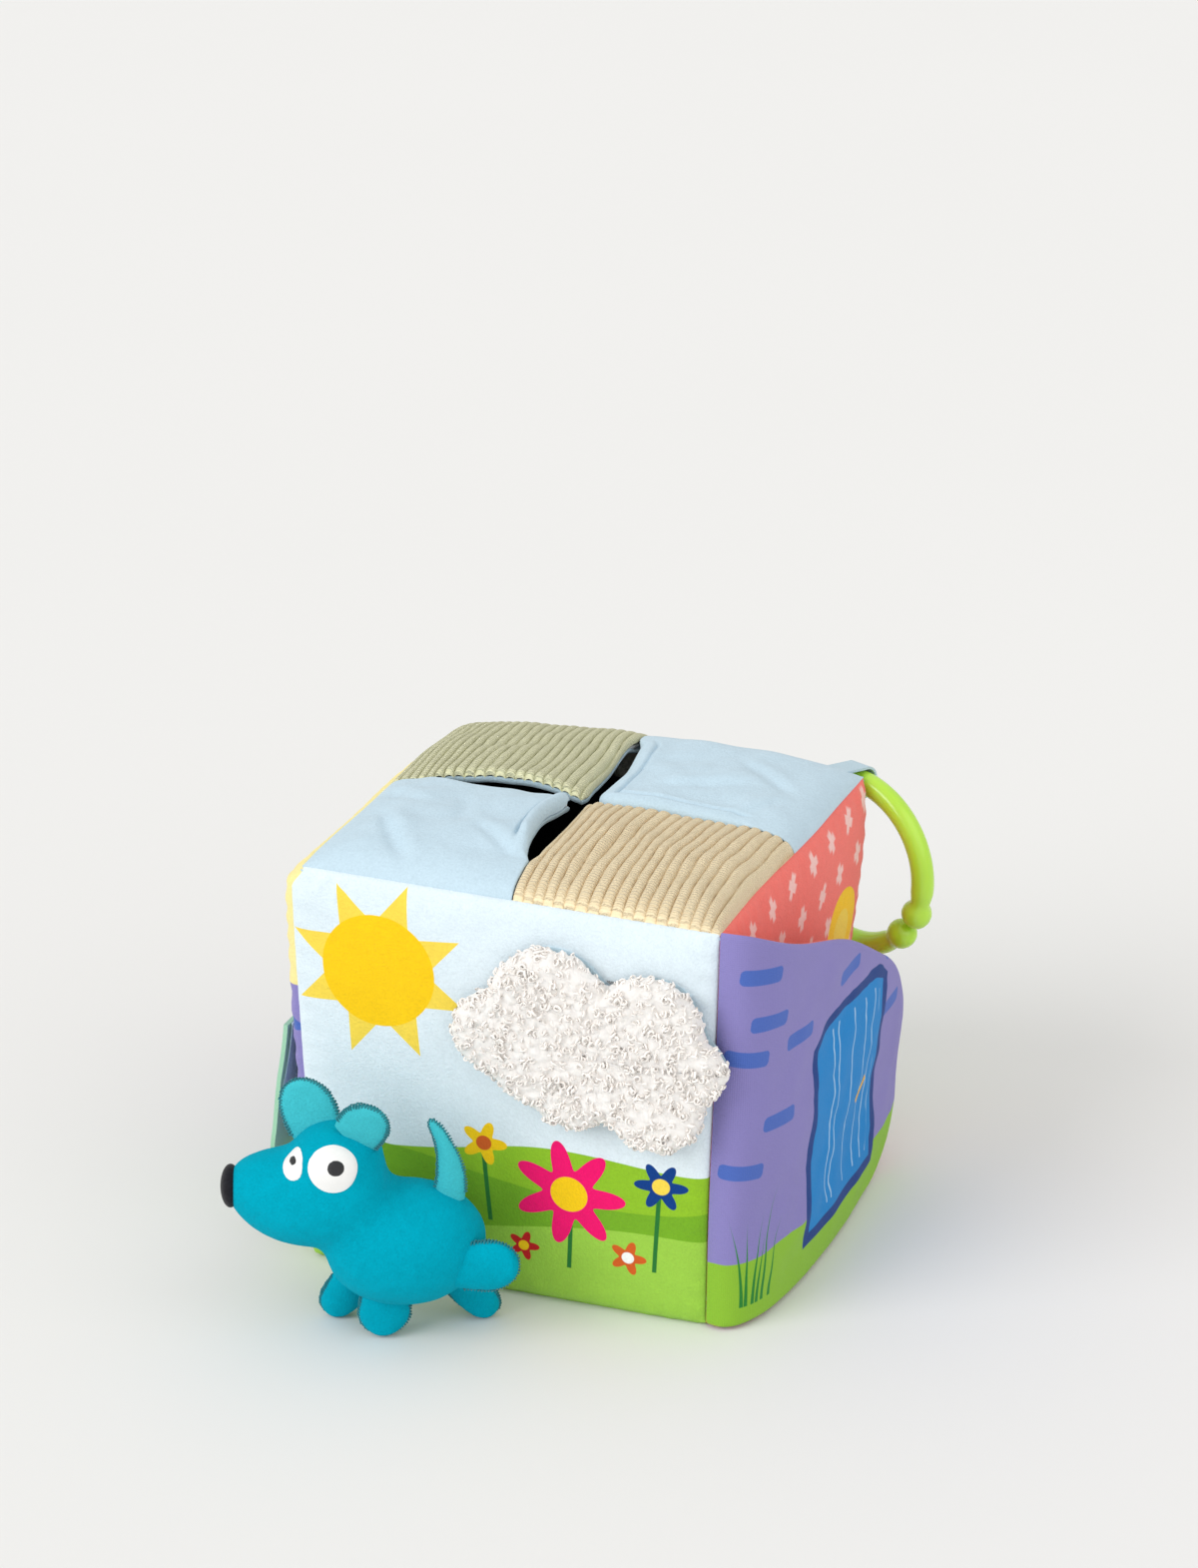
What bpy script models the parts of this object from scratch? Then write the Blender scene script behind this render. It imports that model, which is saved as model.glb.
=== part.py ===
"""A soft fabric activity block: slit top, sewn page, cloud flap and link ring, with its plush puppy.

Metres, +Z up. The origin is the centre of the block's underside, and the picture side faces -Y.
"""

import math

import bmesh
import bpy
from mathutils import Matrix, Vector

for leftover in list(bpy.data.objects):
    bpy.data.objects.remove(leftover)

# Block
block_side = 0.150
seam_inset = 0.003
wall_crown = 0.004
base_cut = 0.0005
top_crown = 0.008
quadrant_crown = 0.0015
wall_roundness = 10
top_roundness = 6
cover_cloth = 0.0012
wall_pad = 0.009
lining_cloth = 0.0008
clearance = 0.0003

# Slit top
slit_reach = 0.056
slit_half_gap = 0.0012
flap_wadding = 0.0038
backing_cloth = 0.0008
flap_corner_radius = 0.007
curled_corner_radius = 0.014
curled_corner_lift = 0.0045
raised_corner_lift = 0.0030
flap_fold_gap = 0.0006
flap_push_in = math.radians(60)
flap_lift_up = math.radians(30)
flap_edge_lean_share = 0.38

# Sewn page on the right side
page_cloth = 0.0008
page_wadding = 0.0018
page_floor_gap = 0.0010
page_top_at_seam = 0.1465
page_top_slope = 0.45
page_corner_radius = 0.015
page_reach_shares = ((1.267, -1.120), (1.333, -0.400), (1.320, 0.933))
page_hinge_share = 0.2
page_seam_share = 0.25

# Fleece patch inside the page
patch_fleece = 0.0045
patch_low = 0.020
patch_high = 0.052
patch_reach_shares = (0.86, 1.02)

# Flap on the left side
window_width = 0.052
window_drop = 0.057
window_stand = 0.012
window_bow = 0.003
window_cloth = 0.0010
window_hinge_height = 0.084
window_middle = -0.040
window_corner_radius = 0.013

# Cloud flap: each lobe is its centre's place from the cloud's heart and its radius, as shares of its width
cloud_width = 0.0940
cloud_lobe_shares = (
    (-0.149, 0.149, 0.234),
    (0.234, 0.128, 0.202),
    (0.410, -0.011, 0.117),
    (0.255, -0.181, 0.181),
    (-0.064, -0.128, 0.191),
    (-0.383, 0.021, 0.149),
)
cloud_heart = (0.034, 0.104)
cloud_tack_share = 0.207
cloud_fleece = 0.007
cloud_backing = 0.0010
cloud_edge_round = 0.0025

# Link ring and its tape
ring_radius = 0.032
ring_tube = 0.0042
ring_knuckle = 0.0052
ring_slot = 0.0012
ring_slot_turn = math.radians(-28)
ring_turned = math.radians(24)
tape_width = 0.009
tape_thickness = 0.0009
tape_reach = 0.0128
tape_sag = 0.0055
tape_root_rise = 0.0013
tape_root_gap = 0.0003

# Puppy
puppy_place = (-0.023, -0.110)
puppy_turn = math.radians(19)
body_length = 0.058
body_height = 0.046
body_width = 0.041
body_middle_height = 0.034
head_length = 0.053
head_height = 0.044
head_width = 0.040
head_back_reach = 0.006
head_back_height = 0.060
head_slope = 0.004
leg_height = 0.023
leg_width = 0.017
leg_thickness = 0.0125
leg_sink = 0.0005
raised_leg_height = 0.0295
raised_leg_reach = 0.019
ear_width = 0.018
ear_thickness = 0.0050
ear_rise = 0.0155
ear_spread = 0.003
tail_length = 0.030
tail_width = 0.010
tail_thickness = 0.0050
nose_width = 0.0135
nose_height = 0.0125
nose_depth = 0.0085

half = block_side / 2
edge_half = half - seam_inset
pad_depth = cover_cloth + clearance + wall_pad
cavity_half = edge_half - pad_depth - clearance - lining_cloth
mitre_gap = clearance / math.sqrt(2)


def srgb(red, green, blue):
    """A colour read from 0 to 255, as the linear shares that a material takes."""
    shares = [value / 255 for value in (red, green, blue)]
    return [s / 12.92 if s <= 0.04045 else ((s + 0.055) / 1.055) ** 2.4 for s in shares] + [1.0]


finishes = {
    "sky_velour": (srgb(205, 227, 238), 0.92),
    "coral_velour": (srgb(240, 120, 110), 0.92),
    "cream_velour": (srgb(250, 235, 160), 0.92),
    "leaf_velour": (srgb(150, 195, 70), 0.92),
    "purple_cloth": (srgb(143, 134, 196), 0.88),
    "mint_cloth": (srgb(170, 220, 185), 0.88),
    "sage_corduroy": (srgb(190, 205, 150), 0.94),
    "beige_corduroy": (srgb(240, 214, 165), 0.94),
    "black_lining": (srgb(20, 20, 24), 0.85),
    "foam": (srgb(245, 240, 225), 0.95),
    "wadding": (srgb(246, 246, 244), 0.97),
    "fleece": (srgb(240, 235, 230), 0.97),
    "ribbed_tape": (srgb(185, 210, 220), 0.80),
    "ring_plastic": (srgb(180, 225, 60), 0.25),
    "teal_velour": (srgb(0, 165, 190), 0.92),
    "black_velour": (srgb(28, 28, 32), 0.90),
}


def finish_of(name):
    material = bpy.data.materials.get(name)
    if material is None:
        colour, roughness = finishes[name]
        material = bpy.data.materials.new(name)
        material.use_nodes = True
        shader = material.node_tree.nodes["Principled BSDF"]
        shader.inputs["Base Color"].default_value = colour
        shader.inputs["Roughness"].default_value = roughness
        shader.inputs["Metallic"].default_value = 0.0
        material.diffuse_color = colour
    return material


def add_object(name, points, faces, finish):
    """A closed body made from its points and faces, turned to face outwards."""
    mesh = bpy.data.meshes.new(name)
    mesh.from_pydata([tuple(point) for point in points], [], faces)
    shell = bmesh.new()
    shell.from_mesh(mesh)
    bmesh.ops.recalc_face_normals(shell, faces=shell.faces)
    shell.to_mesh(mesh)
    shell.free()
    mesh.shade_smooth()
    mesh.set_sharp_from_angle(angle=math.radians(50))
    obj = bpy.data.objects.new(name, mesh)
    obj.data.materials.append(finish_of(finish))
    bpy.context.scene.collection.objects.link(obj)
    return obj


def slab(name, front, back, finish):
    """A sheet with two faces, each given as rows of points, joined round its rim."""
    rows, columns = len(front), len(front[0])
    points = [point for row in front for point in row] + [point for row in back for point in row]
    far = rows * columns
    faces = []
    for row in range(rows - 1):
        for column in range(columns - 1):
            first = row * columns + column
            quad = [first, first + 1, first + columns + 1, first + columns]
            if (row < (rows - 1) / 2) != (column < (columns - 1) / 2):
                quad = quad[1:] + quad[:1]
            for corners in (quad[:3], [quad[0], quad[2], quad[3]]):
                faces.append(tuple(corners))
                faces.append(tuple(far + corner for corner in reversed(corners)))
    rim = [(0, column) for column in range(columns)]
    rim += [(row, columns - 1) for row in range(1, rows)]
    rim += [(rows - 1, column) for column in range(columns - 2, -1, -1)]
    rim += [(row, 0) for row in range(rows - 2, 0, -1)]
    rim = [row * columns + column for row, column in rim]
    for here, after in zip(rim, rim[1:] + rim[:1]):
        faces.append((after, here, far + here, far + after))
    return add_object(name, points, faces, finish)


def ringed(name, start, rings, end, finish):
    """A closed body through rings of points, with a pole at each end."""
    sides = len(rings[0])
    points = [start] + [point for ring in rings for point in ring] + [end]
    last = len(points) - 1
    faces = []
    for side in range(sides):
        after = (side + 1) % sides
        faces.append((0, 1 + after, 1 + side))
        for ring in range(len(rings) - 1):
            low = 1 + ring * sides
            high = low + sides
            faces.append((low + side, low + after, high + after, high + side))
        top = 1 + (len(rings) - 1) * sides
        faces.append((last, top + side, top + after))
    return add_object(name, points, faces, finish)


def oval(centre, across, up, sides):
    turns = [2 * math.pi * side / sides for side in range(sides)]
    return [centre + across * math.cos(turn) + up * math.sin(turn) for turn in turns]


def carry(name, pivot, pieces):
    """An empty on a joint's axis, which the joint's pieces hang from."""
    empty = bpy.data.objects.new(name, None)
    empty.location = pivot
    bpy.context.scene.collection.objects.link(empty)
    for piece in pieces:
        piece.parent = empty
        piece.matrix_parent_inverse = Matrix.Translation(pivot).inverted()


def cut_with(piece, cutter):
    cutter.hide_render = True
    cutter.display_type = "WIRE"
    trim = piece.modifiers.new("trim", "BOOLEAN")
    trim.operation = "DIFFERENCE"
    trim.solver = "EXACT"
    trim.object = cutter


def cut_level(piece, height, keep_above):
    """Cuts a body off flat at a height, and closes it there."""
    shell = bmesh.new()
    shell.from_mesh(piece.data)
    everything = shell.verts[:] + shell.edges[:] + shell.faces[:]
    cut = bmesh.ops.bisect_plane(
        shell,
        geom=everything,
        plane_co=(0, 0, height),
        plane_no=(0, 0, 1),
        clear_inner=keep_above,
        clear_outer=not keep_above,
    )
    rim = [element for element in cut["geom_cut"] if isinstance(element, bmesh.types.BMEdge)]
    bmesh.ops.contextual_create(shell, geom=rim)
    bmesh.ops.recalc_face_normals(shell, faces=shell.faces)
    shell.to_mesh(piece.data)
    shell.free()


def fullness(share, roundness):
    """How full a padded side is at a share of the way out to its seam."""
    return math.sqrt(max(0.0, 1 - abs(share) ** roundness))


def bulge(a, b, crown, roundness):
    full = fullness(a, roundness) * fullness(b, roundness)
    return (seam_inset + crown) * full - seam_inset


def spaced(count):
    """Shares from -1 to 1, closer together near the seams."""
    return [math.sin(math.pi * (step / (count - 1) - 0.5)) for step in range(count)]


# Block walls and base: cover, pad and lining

sides = {
    "front": (Vector((0, -1, 0)), Vector((1, 0, 0)), Vector((0, 0, 1)), wall_crown, "sky_velour"),
    "right": (Vector((1, 0, 0)), Vector((0, 1, 0)), Vector((0, 0, 1)), wall_crown, "coral_velour"),
    "back": (Vector((0, 1, 0)), Vector((-1, 0, 0)), Vector((0, 0, 1)), wall_crown, "sky_velour"),
    "left": (Vector((-1, 0, 0)), Vector((0, -1, 0)), Vector((0, 0, 1)), wall_crown, "cream_velour"),
    "base": (Vector((0, 0, -1)), Vector((1, 0, 0)), Vector((0, 1, 0)), base_cut, "leaf_velour"),
}
block_centre = Vector((0, 0, half))
side_grid = 9


def side_face(side, depth, flat):
    """Points of a side, at a depth under its outer surface, or flat at that depth under its seams."""
    outward, across, up, crown, _ = sides[side]
    reach = edge_half - depth
    rows = []
    for b in spaced(side_grid):
        row = []
        for a in spaced(side_grid):
            swell = -seam_inset if flat else bulge(a, b, crown, wall_roundness)
            if side == "base":
                swell = min(swell, 0)
            along = across * a * (reach - mitre_gap) + up * b * (reach - mitre_gap)
            row.append(block_centre + along + outward * (half + swell - depth))
        rows.append(row)
    return rows


for side, (_, _, _, _, side_finish) in sides.items():
    slab(f"{side}_panel", side_face(side, 0, False), side_face(side, cover_cloth, False), side_finish)
    pad_front = side_face(side, cover_cloth + clearance, False)
    slab(f"{side}_pad", pad_front, side_face(side, pad_depth, True), "foam")


corner_signs = ((-1, -1), (1, -1), (1, 1), (-1, 1))


def box_corners(reach, low, high):
    return [Vector((x * reach, y * reach, z)) for z in (low, high) for x, y in corner_signs]


top_depth = cover_cloth + flap_wadding + backing_cloth + 2 * clearance
lining_low = seam_inset + pad_depth + clearance
lining_high = block_side - seam_inset - top_depth - clearance
lining_outside = box_corners(cavity_half + lining_cloth, lining_low, lining_high)
lining_inside = box_corners(cavity_half, lining_low + lining_cloth, lining_high)
lining_faces = [(3, 2, 1, 0), (8, 9, 10, 11)]
for here in range(4):
    after = (here + 1) % 4
    lining_faces.append((here, after, after + 4, here + 4))
    lining_faces.append((after + 8, here + 8, here + 12, after + 12))
    lining_faces.append((here + 4, after + 4, after + 12, here + 12))
add_object("lining_bag", lining_outside + lining_inside, lining_faces, "black_lining")


# Slit top: four padded quadrants, each sewn round its outer corner and free at its inner one

quadrants = {
    "front_left": (-1, -1, "sky_velour", curled_corner_radius, curled_corner_lift),
    "front_right": (1, -1, "beige_corduroy", flap_corner_radius, 0),
    "back_right": (1, 1, "sky_velour", flap_corner_radius, 0),
    "back_left": (-1, 1, "sage_corduroy", flap_corner_radius, raised_corner_lift),
}
top_layers = {
    "cover": (0, cover_cloth, None),
    "wadding": (cover_cloth + clearance, cover_cloth + clearance + flap_wadding, "wadding"),
    "backing": (top_depth - backing_cloth, top_depth, "sky_velour"),
}
leg_shares = (0.0, 0.4, 0.78, 0.95)
inward_shares = (0.0, 0.10, 0.30, 0.62, 1.0)
fold_reach = slit_reach / math.sqrt(2)
seam_half_gap = clearance / 2


def top_height(x, y, depth):
    """Height of the top at a place, at a depth under its surface."""
    reach = edge_half - depth
    a, b = min(1.0, abs(x) / reach), min(1.0, abs(y) / reach)
    pillow = (1 - (2 * a - 1) ** 4) * (1 - (2 * b - 1) ** 4)
    return block_side + bulge(a, b, top_crown, top_roundness) + quadrant_crown * pillow - depth


fold_axis_height = top_height(slit_reach, slit_half_gap, 0)


def fold_relief(height):
    """Room at the fold, at a height, for the flap to turn down and up about its axis."""
    below = max(0.0, fold_axis_height - height)
    above = max(0.0, height - fold_axis_height)
    return flap_fold_gap / 2 + below * math.tan(flap_push_in / 2) + above * math.tan(flap_lift_up / 2)


def sewn_face(sign_x, sign_y, depth):
    """The outer, sewn part of a quadrant at a depth, from its seams in to the fold."""
    reach = edge_half - depth - mitre_gap
    leg = [(reach, seam_half_gap + share * (reach - seam_half_gap)) for share in leg_shares]
    outer = leg + [(reach, reach)] + [(y, x) for x, y in reversed(leg)]
    rows = []
    for inward in inward_shares:
        row = []
        for place, (x, y) in enumerate(outer):
            along = place / (len(outer) - 1)
            fold_x = seam_half_gap + (1 - along) * (slit_reach - 2 * seam_half_gap)
            fold_y = slit_reach - fold_x
            relief = fold_relief(top_height(fold_x, fold_y, depth)) / math.sqrt(2)
            end = place in (0, len(outer) - 1)
            fold_x += relief * (2 if end and place == 0 else 0 if end else 1)
            fold_y += relief * (0 if end and place == 0 else 2 if end else 1)
            px = x + (fold_x - x) * inward
            py = y + (fold_y - y) * inward
            row.append(Vector((sign_x * px, sign_y * py, top_height(px, py, depth))))
        rows.append(row)
    return rows


def flap_half_width(inward, radius, tip):
    """Half the flap's width at a distance in from the fold to its tip, with its corner rounded."""
    centre = tip - radius * math.sqrt(2)
    if inward <= tip - radius / math.sqrt(2):
        return tip - inward
    return math.sqrt(max(0.0, radius**2 - (inward - centre) ** 2))


def flap_face(sign_x, sign_y, depth, radius, curl):
    """The free inner part of a quadrant at a depth, from the fold to its rounded corner."""
    tip = fold_reach - (slit_half_gap + depth * flap_edge_lean_share) * math.sqrt(2)
    centre = tip - radius * math.sqrt(2)
    straight = tip - radius / math.sqrt(2)
    distances = [0, straight / 3, straight * 2 / 3, straight]
    distances += [centre + radius * math.sin(math.radians(turn)) for turn in (62, 82)]
    rows = []
    for distance in distances:
        row = []
        for share in (-1, -0.6, 0, 0.6, 1):
            inward = distance
            if distance == 0:
                aside = share * flap_half_width(0, radius, tip)
                x0 = slit_reach / 2 + aside / math.sqrt(2)
                inward = fold_relief(top_height(x0, slit_reach - x0, depth))
            aside = share * flap_half_width(inward, radius, tip)
            x = slit_reach / 2 + (aside - inward) / math.sqrt(2)
            y = slit_reach / 2 - (aside + inward) / math.sqrt(2)
            height = top_height(x, y, depth) + curl * (inward / tip) ** 2
            row.append(Vector((sign_x * x, sign_y * y, height)))
        rows.append(row)
    return rows


for place, (sign_x, sign_y, cover, radius, curl) in quadrants.items():
    flap_pieces = []
    for layer, (shallow, deep, finish) in top_layers.items():
        sewn = [sewn_face(sign_x, sign_y, depth) for depth in (shallow, deep)]
        slab(f"{place}_top_{layer}", *sewn, finish or cover)
        free = [flap_face(sign_x, sign_y, depth, radius, curl) for depth in (shallow, deep)]
        flap_pieces.append(slab(f"{place}_flap_{layer}", *free, finish or cover))
    fold = Vector((sign_x * slit_reach / 2, sign_y * slit_reach / 2, fold_axis_height))
    carry(f"{place}_flap_fold", fold, flap_pieces)


# Sewn page on the right side: printed cloth, wadding and coral cloth, bound at the front-right seam

page_start = Vector((edge_half + clearance, -edge_half - clearance, 0))
page_controls = [page_start] + [Vector((x * half, y * half, 0)) for x, y in page_reach_shares]
page_thickness = 2 * page_cloth + page_wadding + 2 * clearance


def page_plan(share):
    """Place and inward direction of the page's outer face, seen from above, at a share of its way."""
    first, second, third, last = page_controls
    rest = 1 - share
    place = first * rest**3 + second * 3 * rest**2 * share + third * 3 * rest * share**2 + last * share**3
    way = (second - first) * rest**2 + (third - second) * 2 * rest * share + (last - third) * share**2
    way.normalize()
    return place, Vector((-way.y, way.x, 0))


def page_span(y):
    """Lowest and highest point of the page at a place along the side, with both free corners rounded."""
    end = page_controls[-1].y
    past = max(0.0, y - (end - page_corner_radius))
    rounding = page_corner_radius - math.sqrt(max(0.0, page_corner_radius**2 - past**2))
    high = page_top_at_seam - page_top_slope * (y + edge_half)
    return page_floor_gap + rounding, high - rounding


def page_face(first, last, count, depth, bound):
    """Points of the page between two shares of its way; where it is bound it thins towards the seam."""
    rows = []
    for step in range(count):
        share = first + (last - first) * math.sin(math.pi / 2 * step / (count - 1))
        place, inward = page_plan(share)
        thinned = page_seam_share + (1 - page_seam_share) * share / page_hinge_share if bound else 1
        place = place + inward * depth * thinned
        low, high = page_span(page_plan(share)[0].y)
        levels = [low + (high - low) * (level + 1) / 2 for level in spaced(6)]
        rows.append([Vector((place.x, place.y, level)) for level in levels])
    return rows


page_hinge, _ = page_plan(page_hinge_share)
hinge_gap_share = page_hinge_share * clearance / (page_hinge - page_start).length
bound_end = page_hinge_share - hinge_gap_share
bound_faces = [page_face(0, bound_end, 4, depth, True) for depth in (0, page_thickness)]
slab("page_seam_binding", *bound_faces, "purple_cloth")

page_layers = {
    "page_printed_cloth": (0, page_cloth, "purple_cloth"),
    "page_wadding": (page_cloth + clearance, page_cloth + clearance + page_wadding, "wadding"),
    "page_back_cloth": (page_thickness - page_cloth, page_thickness, "coral_velour"),
}
page_pieces = []
for name, (shallow, deep, finish) in page_layers.items():
    faces = [page_face(page_hinge_share, 1, 9, depth, False) for depth in (shallow, deep)]
    page_pieces.append(slab(name, *faces, finish))


def patch_face(depth, shrink):
    rows = []
    middle = (patch_low + patch_high) / 2
    for step in range(5):
        share = patch_reach_shares[0] + (patch_reach_shares[1] - patch_reach_shares[0]) * step / 4
        place, inward = page_plan(share)
        place = place + inward * depth
        round_off = fullness(step / 2 - 1, 4) * 0.5 + 0.5
        tall = (patch_high - patch_low) / 2 * round_off - shrink
        rows.append([Vector((place.x, place.y, middle + level * tall)) for level in (-1, -0.5, 0, 0.5, 1)])
    return rows


patch_depth = page_thickness + clearance
patch_round = patch_fleece / 3
patch_faces = [patch_face(patch_depth, 0), patch_face(patch_depth + patch_fleece, patch_round)]
page_pieces.append(slab("page_fleece_patch", *patch_faces, "fleece"))
carry("page_hinge", page_hinge, page_pieces)


# Mint flap on the left side, sewn along its top edge

window_seat = half + wall_crown + clearance


def window_face(depth):
    rows = []
    for step in range(7):
        fall = math.sin(math.pi / 2 * step / 6)
        drop = window_drop * fall
        stand = window_stand * fall + window_bow * math.sin(math.pi * fall)
        past = max(0.0, drop - (window_drop - window_corner_radius))
        narrowed = window_corner_radius - math.sqrt(max(0.0, window_corner_radius**2 - past**2))
        reach = window_width / 2 - narrowed
        out = window_seat + 2 * window_cloth + clearance - depth + stand
        height = window_hinge_height - drop
        rows.append([Vector((-out, window_middle + a * reach, height)) for a in spaced(6)])
    return rows


window_layers = {
    "window_flap_cloth": (0, window_cloth, "mint_cloth"),
    "window_flap_backing": (window_cloth + clearance, 2 * window_cloth + clearance, "sky_velour"),
}
window_pieces = []
for name, (shallow, deep, finish) in window_layers.items():
    window_pieces.append(slab(name, window_face(shallow), window_face(deep), finish))
window_pivot = Vector((-window_seat - 2 * window_cloth - clearance, window_middle, window_hinge_height))
carry("window_flap_hinge", window_pivot, window_pieces)


# Cloud flap on the front side, tacked under its two top humps

cloud_back = half + wall_crown + 2 * clearance
cloud_tack_height = cloud_heart[1] + cloud_tack_share * cloud_width
cloud_front = cloud_back + cloud_backing + clearance + cloud_fleece


def cloud_edge(turn):
    """Distance from the cloud's heart to its edge, which is the farthest lobe's rim that way."""
    way = Vector((math.cos(turn), math.sin(turn)))
    farthest = 0.0
    for lobe in cloud_lobe_shares:
        x, z, radius = (share * cloud_width for share in lobe)
        offset = Vector((x, z))
        along = offset.dot(way)
        inside = radius**2 - (offset.length_squared - along**2)
        if inside > 0:
            farthest = max(farthest, along + math.sqrt(inside))
    return farthest


def cloud_ring(out, shrink):
    ring = []
    for step in range(36):
        turn = 2 * math.pi * step / 36
        reach = cloud_edge(turn) - shrink
        x = cloud_heart[0] + reach * math.cos(turn)
        z = cloud_heart[1] + reach * math.sin(turn)
        ring.append(Vector((x, -out, z)))
    return ring


def cloud_piece(name, near, far, edge_round, finish, keep_above):
    """One layer of the cloud, cut off at the tack line so that its lower part can turn."""
    heart_near = Vector((cloud_heart[0], -near, cloud_heart[1]))
    heart_far = Vector((cloud_heart[0], -far, cloud_heart[1]))
    rings = [cloud_ring(near, 0)]
    if edge_round:
        rings += [cloud_ring(far - edge_round, 0), cloud_ring(far, edge_round)]
    else:
        rings.append(cloud_ring(far, 0))
    piece = ringed(name, heart_near, rings, heart_far, finish)
    shift = clearance / 2 if keep_above else -clearance / 2
    cut_level(piece, cloud_tack_height + shift, keep_above)
    return piece


cloud_layers = {
    "fleece": (cloud_back + cloud_backing + clearance, cloud_front, cloud_edge_round, "fleece"),
    "backing": (cloud_back, cloud_back + cloud_backing, 0, "sky_velour"),
}
cloud_pieces = []
for layer, (near, far, edge_round, finish) in cloud_layers.items():
    cloud_piece(f"cloud_top_{layer}", near, far, edge_round, finish, True)
    cloud_pieces.append(cloud_piece(f"cloud_flap_{layer}", near, far, edge_round, finish, False))
cloud_pivot = Vector((cloud_heart[0], -cloud_front, cloud_tack_height))
carry("cloud_hinge", cloud_pivot, cloud_pieces)


# Link ring, hung at the back-right corner by a loop of ribbed tape

ring_across = Vector((math.cos(ring_turned), -math.sin(ring_turned), 0))
ring_outward = Vector((math.sin(ring_turned), math.cos(ring_turned), 0))
upward = Vector((0, 0, 1))
tape_root = Vector((edge_half, edge_half, block_side - seam_inset + tape_root_rise))
tape_root += ring_outward * tape_root_gap
tape_end = tape_root + ring_outward * tape_reach
tape_end.z = block_side - seam_inset - tape_sag
ring_centre = tape_end - upward * ring_radius


def ring_station(turn, radius):
    outwards = ring_across * math.cos(turn) + upward * math.sin(turn)
    centre = ring_centre + outwards * ring_radius
    return oval(centre, outwards * radius, ring_outward * radius, 8)


def ring_pole(turn):
    return ring_centre + (ring_across * math.cos(turn) + upward * math.sin(turn)) * ring_radius


ring_steps = 28
knuckle_half = ring_knuckle / ring_radius
slot_half = ring_slot / ring_radius / 2
ring_rings = []
ring_start = ring_slot_turn + slot_half
ring_end = ring_slot_turn - slot_half + 2 * math.pi
knuckle_turns = [math.radians(turn) for turn in (35, 80, 125)]
for turn in knuckle_turns:
    in_from_end = knuckle_half * (1 - math.cos(turn))
    ring_rings.append(ring_station(ring_start + in_from_end, ring_knuckle * math.sin(turn)))
first_step = ring_start + 2 * knuckle_half
last_step = ring_end - 2 * knuckle_half
for step in range(ring_steps):
    turn = first_step + (last_step - first_step) * step / (ring_steps - 1)
    ring_rings.append(ring_station(turn, ring_tube))
for turn in reversed(knuckle_turns):
    in_from_end = knuckle_half * (1 - math.cos(turn))
    ring_rings.append(ring_station(ring_end - in_from_end, ring_knuckle * math.sin(turn)))
ring = ringed("link_ring", ring_pole(ring_start), ring_rings, ring_pole(ring_end), "ring_plastic")
carry("link_ring_axis", ring_centre, [ring])

tape_inner = ring_tube + 3 * clearance
tape_turns = [math.radians(turn) for turn in (90, 50, 10, -30, -70, -105, -135)]


def tape_path(radius, root_rise):
    """Middle line of one face of the tape, out from its root, round the ring and back."""
    start = tape_root + upward * root_rise
    line = [start]
    for turn in tape_turns:
        line.append(tape_end + (ring_outward * math.cos(turn) + upward * math.sin(turn)) * radius)
    line.append(tape_root - upward * root_rise)
    return line


def tape_face(radius, root_rise):
    rows = []
    for point in tape_path(radius, root_rise):
        rows.append([point + ring_across * tape_width * (share - 0.5) for share in (0, 0.5, 1)])
    return rows


tape_outside = tape_face(tape_inner + tape_thickness, clearance + tape_thickness)
tape = slab("hanging_loop", tape_outside, tape_face(tape_inner, clearance), "ribbed_tape")
carry("hanging_loop_hinge", tape_root, [tape])


# Puppy: stuffed body, head, legs, ears and tail, with a black nose; its head points to its own -X

body_shares = (
    (0.03, 0.42),
    (0.12, 0.74),
    (0.28, 0.97),
    (0.48, 1.0),
    (0.70, 0.93),
    (0.88, 0.66),
    (0.97, 0.36),
)
head_shares = (
    (0.03, 0.42, 0.0),
    (0.12, 0.76, 0.0),
    (0.28, 1.0, 0.05),
    (0.44, 0.98, 0.20),
    (0.58, 0.80, 0.45),
    (0.72, 0.66, 0.70),
    (0.86, 0.56, 0.90),
    (0.96, 0.36, 1.0),
)
nose_shares = ((0.1, 0.6), (0.35, 0.95), (0.65, 0.95), (0.9, 0.6))
front_to_back = Vector((0, 1, 0))
puppy_centre = Vector((*puppy_place, 0))
body_middle = puppy_centre + upward * body_middle_height
head_back = puppy_centre + Vector((-head_back_reach, 0, head_back_height))
muzzle_tip = head_back - Vector((head_length, 0, head_slope))


def body_place(along, aside, height):
    """A place on the puppy from shares of its body's half length and half width, and a height."""
    return puppy_centre + Vector((along * body_length / 2, aside * body_width / 2, height))


def puppy_body(name, grow):
    start = body_middle + Vector((body_length / 2 + grow, 0, 0))
    end = body_middle - Vector((body_length / 2 + grow, 0, 0))
    rings = []
    for along, swell in body_shares:
        centre = start.lerp(end, along)
        wide = front_to_back * (body_width / 2 * swell + grow)
        rings.append(oval(centre, wide, upward * (body_height / 2 * swell + grow), 12))
    return ringed(name, start, rings, end, "teal_velour")


def puppy_head(name, grow):
    rings = []
    for along, swell, lowered in head_shares:
        centre = head_back - Vector((head_length * along, 0, head_slope * lowered))
        wide = front_to_back * (head_width / 2 * swell + grow)
        rings.append(oval(centre, wide, upward * (head_height / 2 * swell + grow), 12))
    start = head_back + Vector((grow, 0, 0))
    return ringed(name, start, rings, muzzle_tip - Vector((grow, 0, 0)), "teal_velour")


def limb(name, root, tip, swells, across, through, sides):
    """A stuffed limb from its root to its tip, as wide as each share of its width says on the way."""
    rings = [oval(root.lerp(tip, along), across * swell, through * swell, sides) for along, swell in swells]
    return ringed(name, root, rings, tip, "teal_velour")


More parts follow.
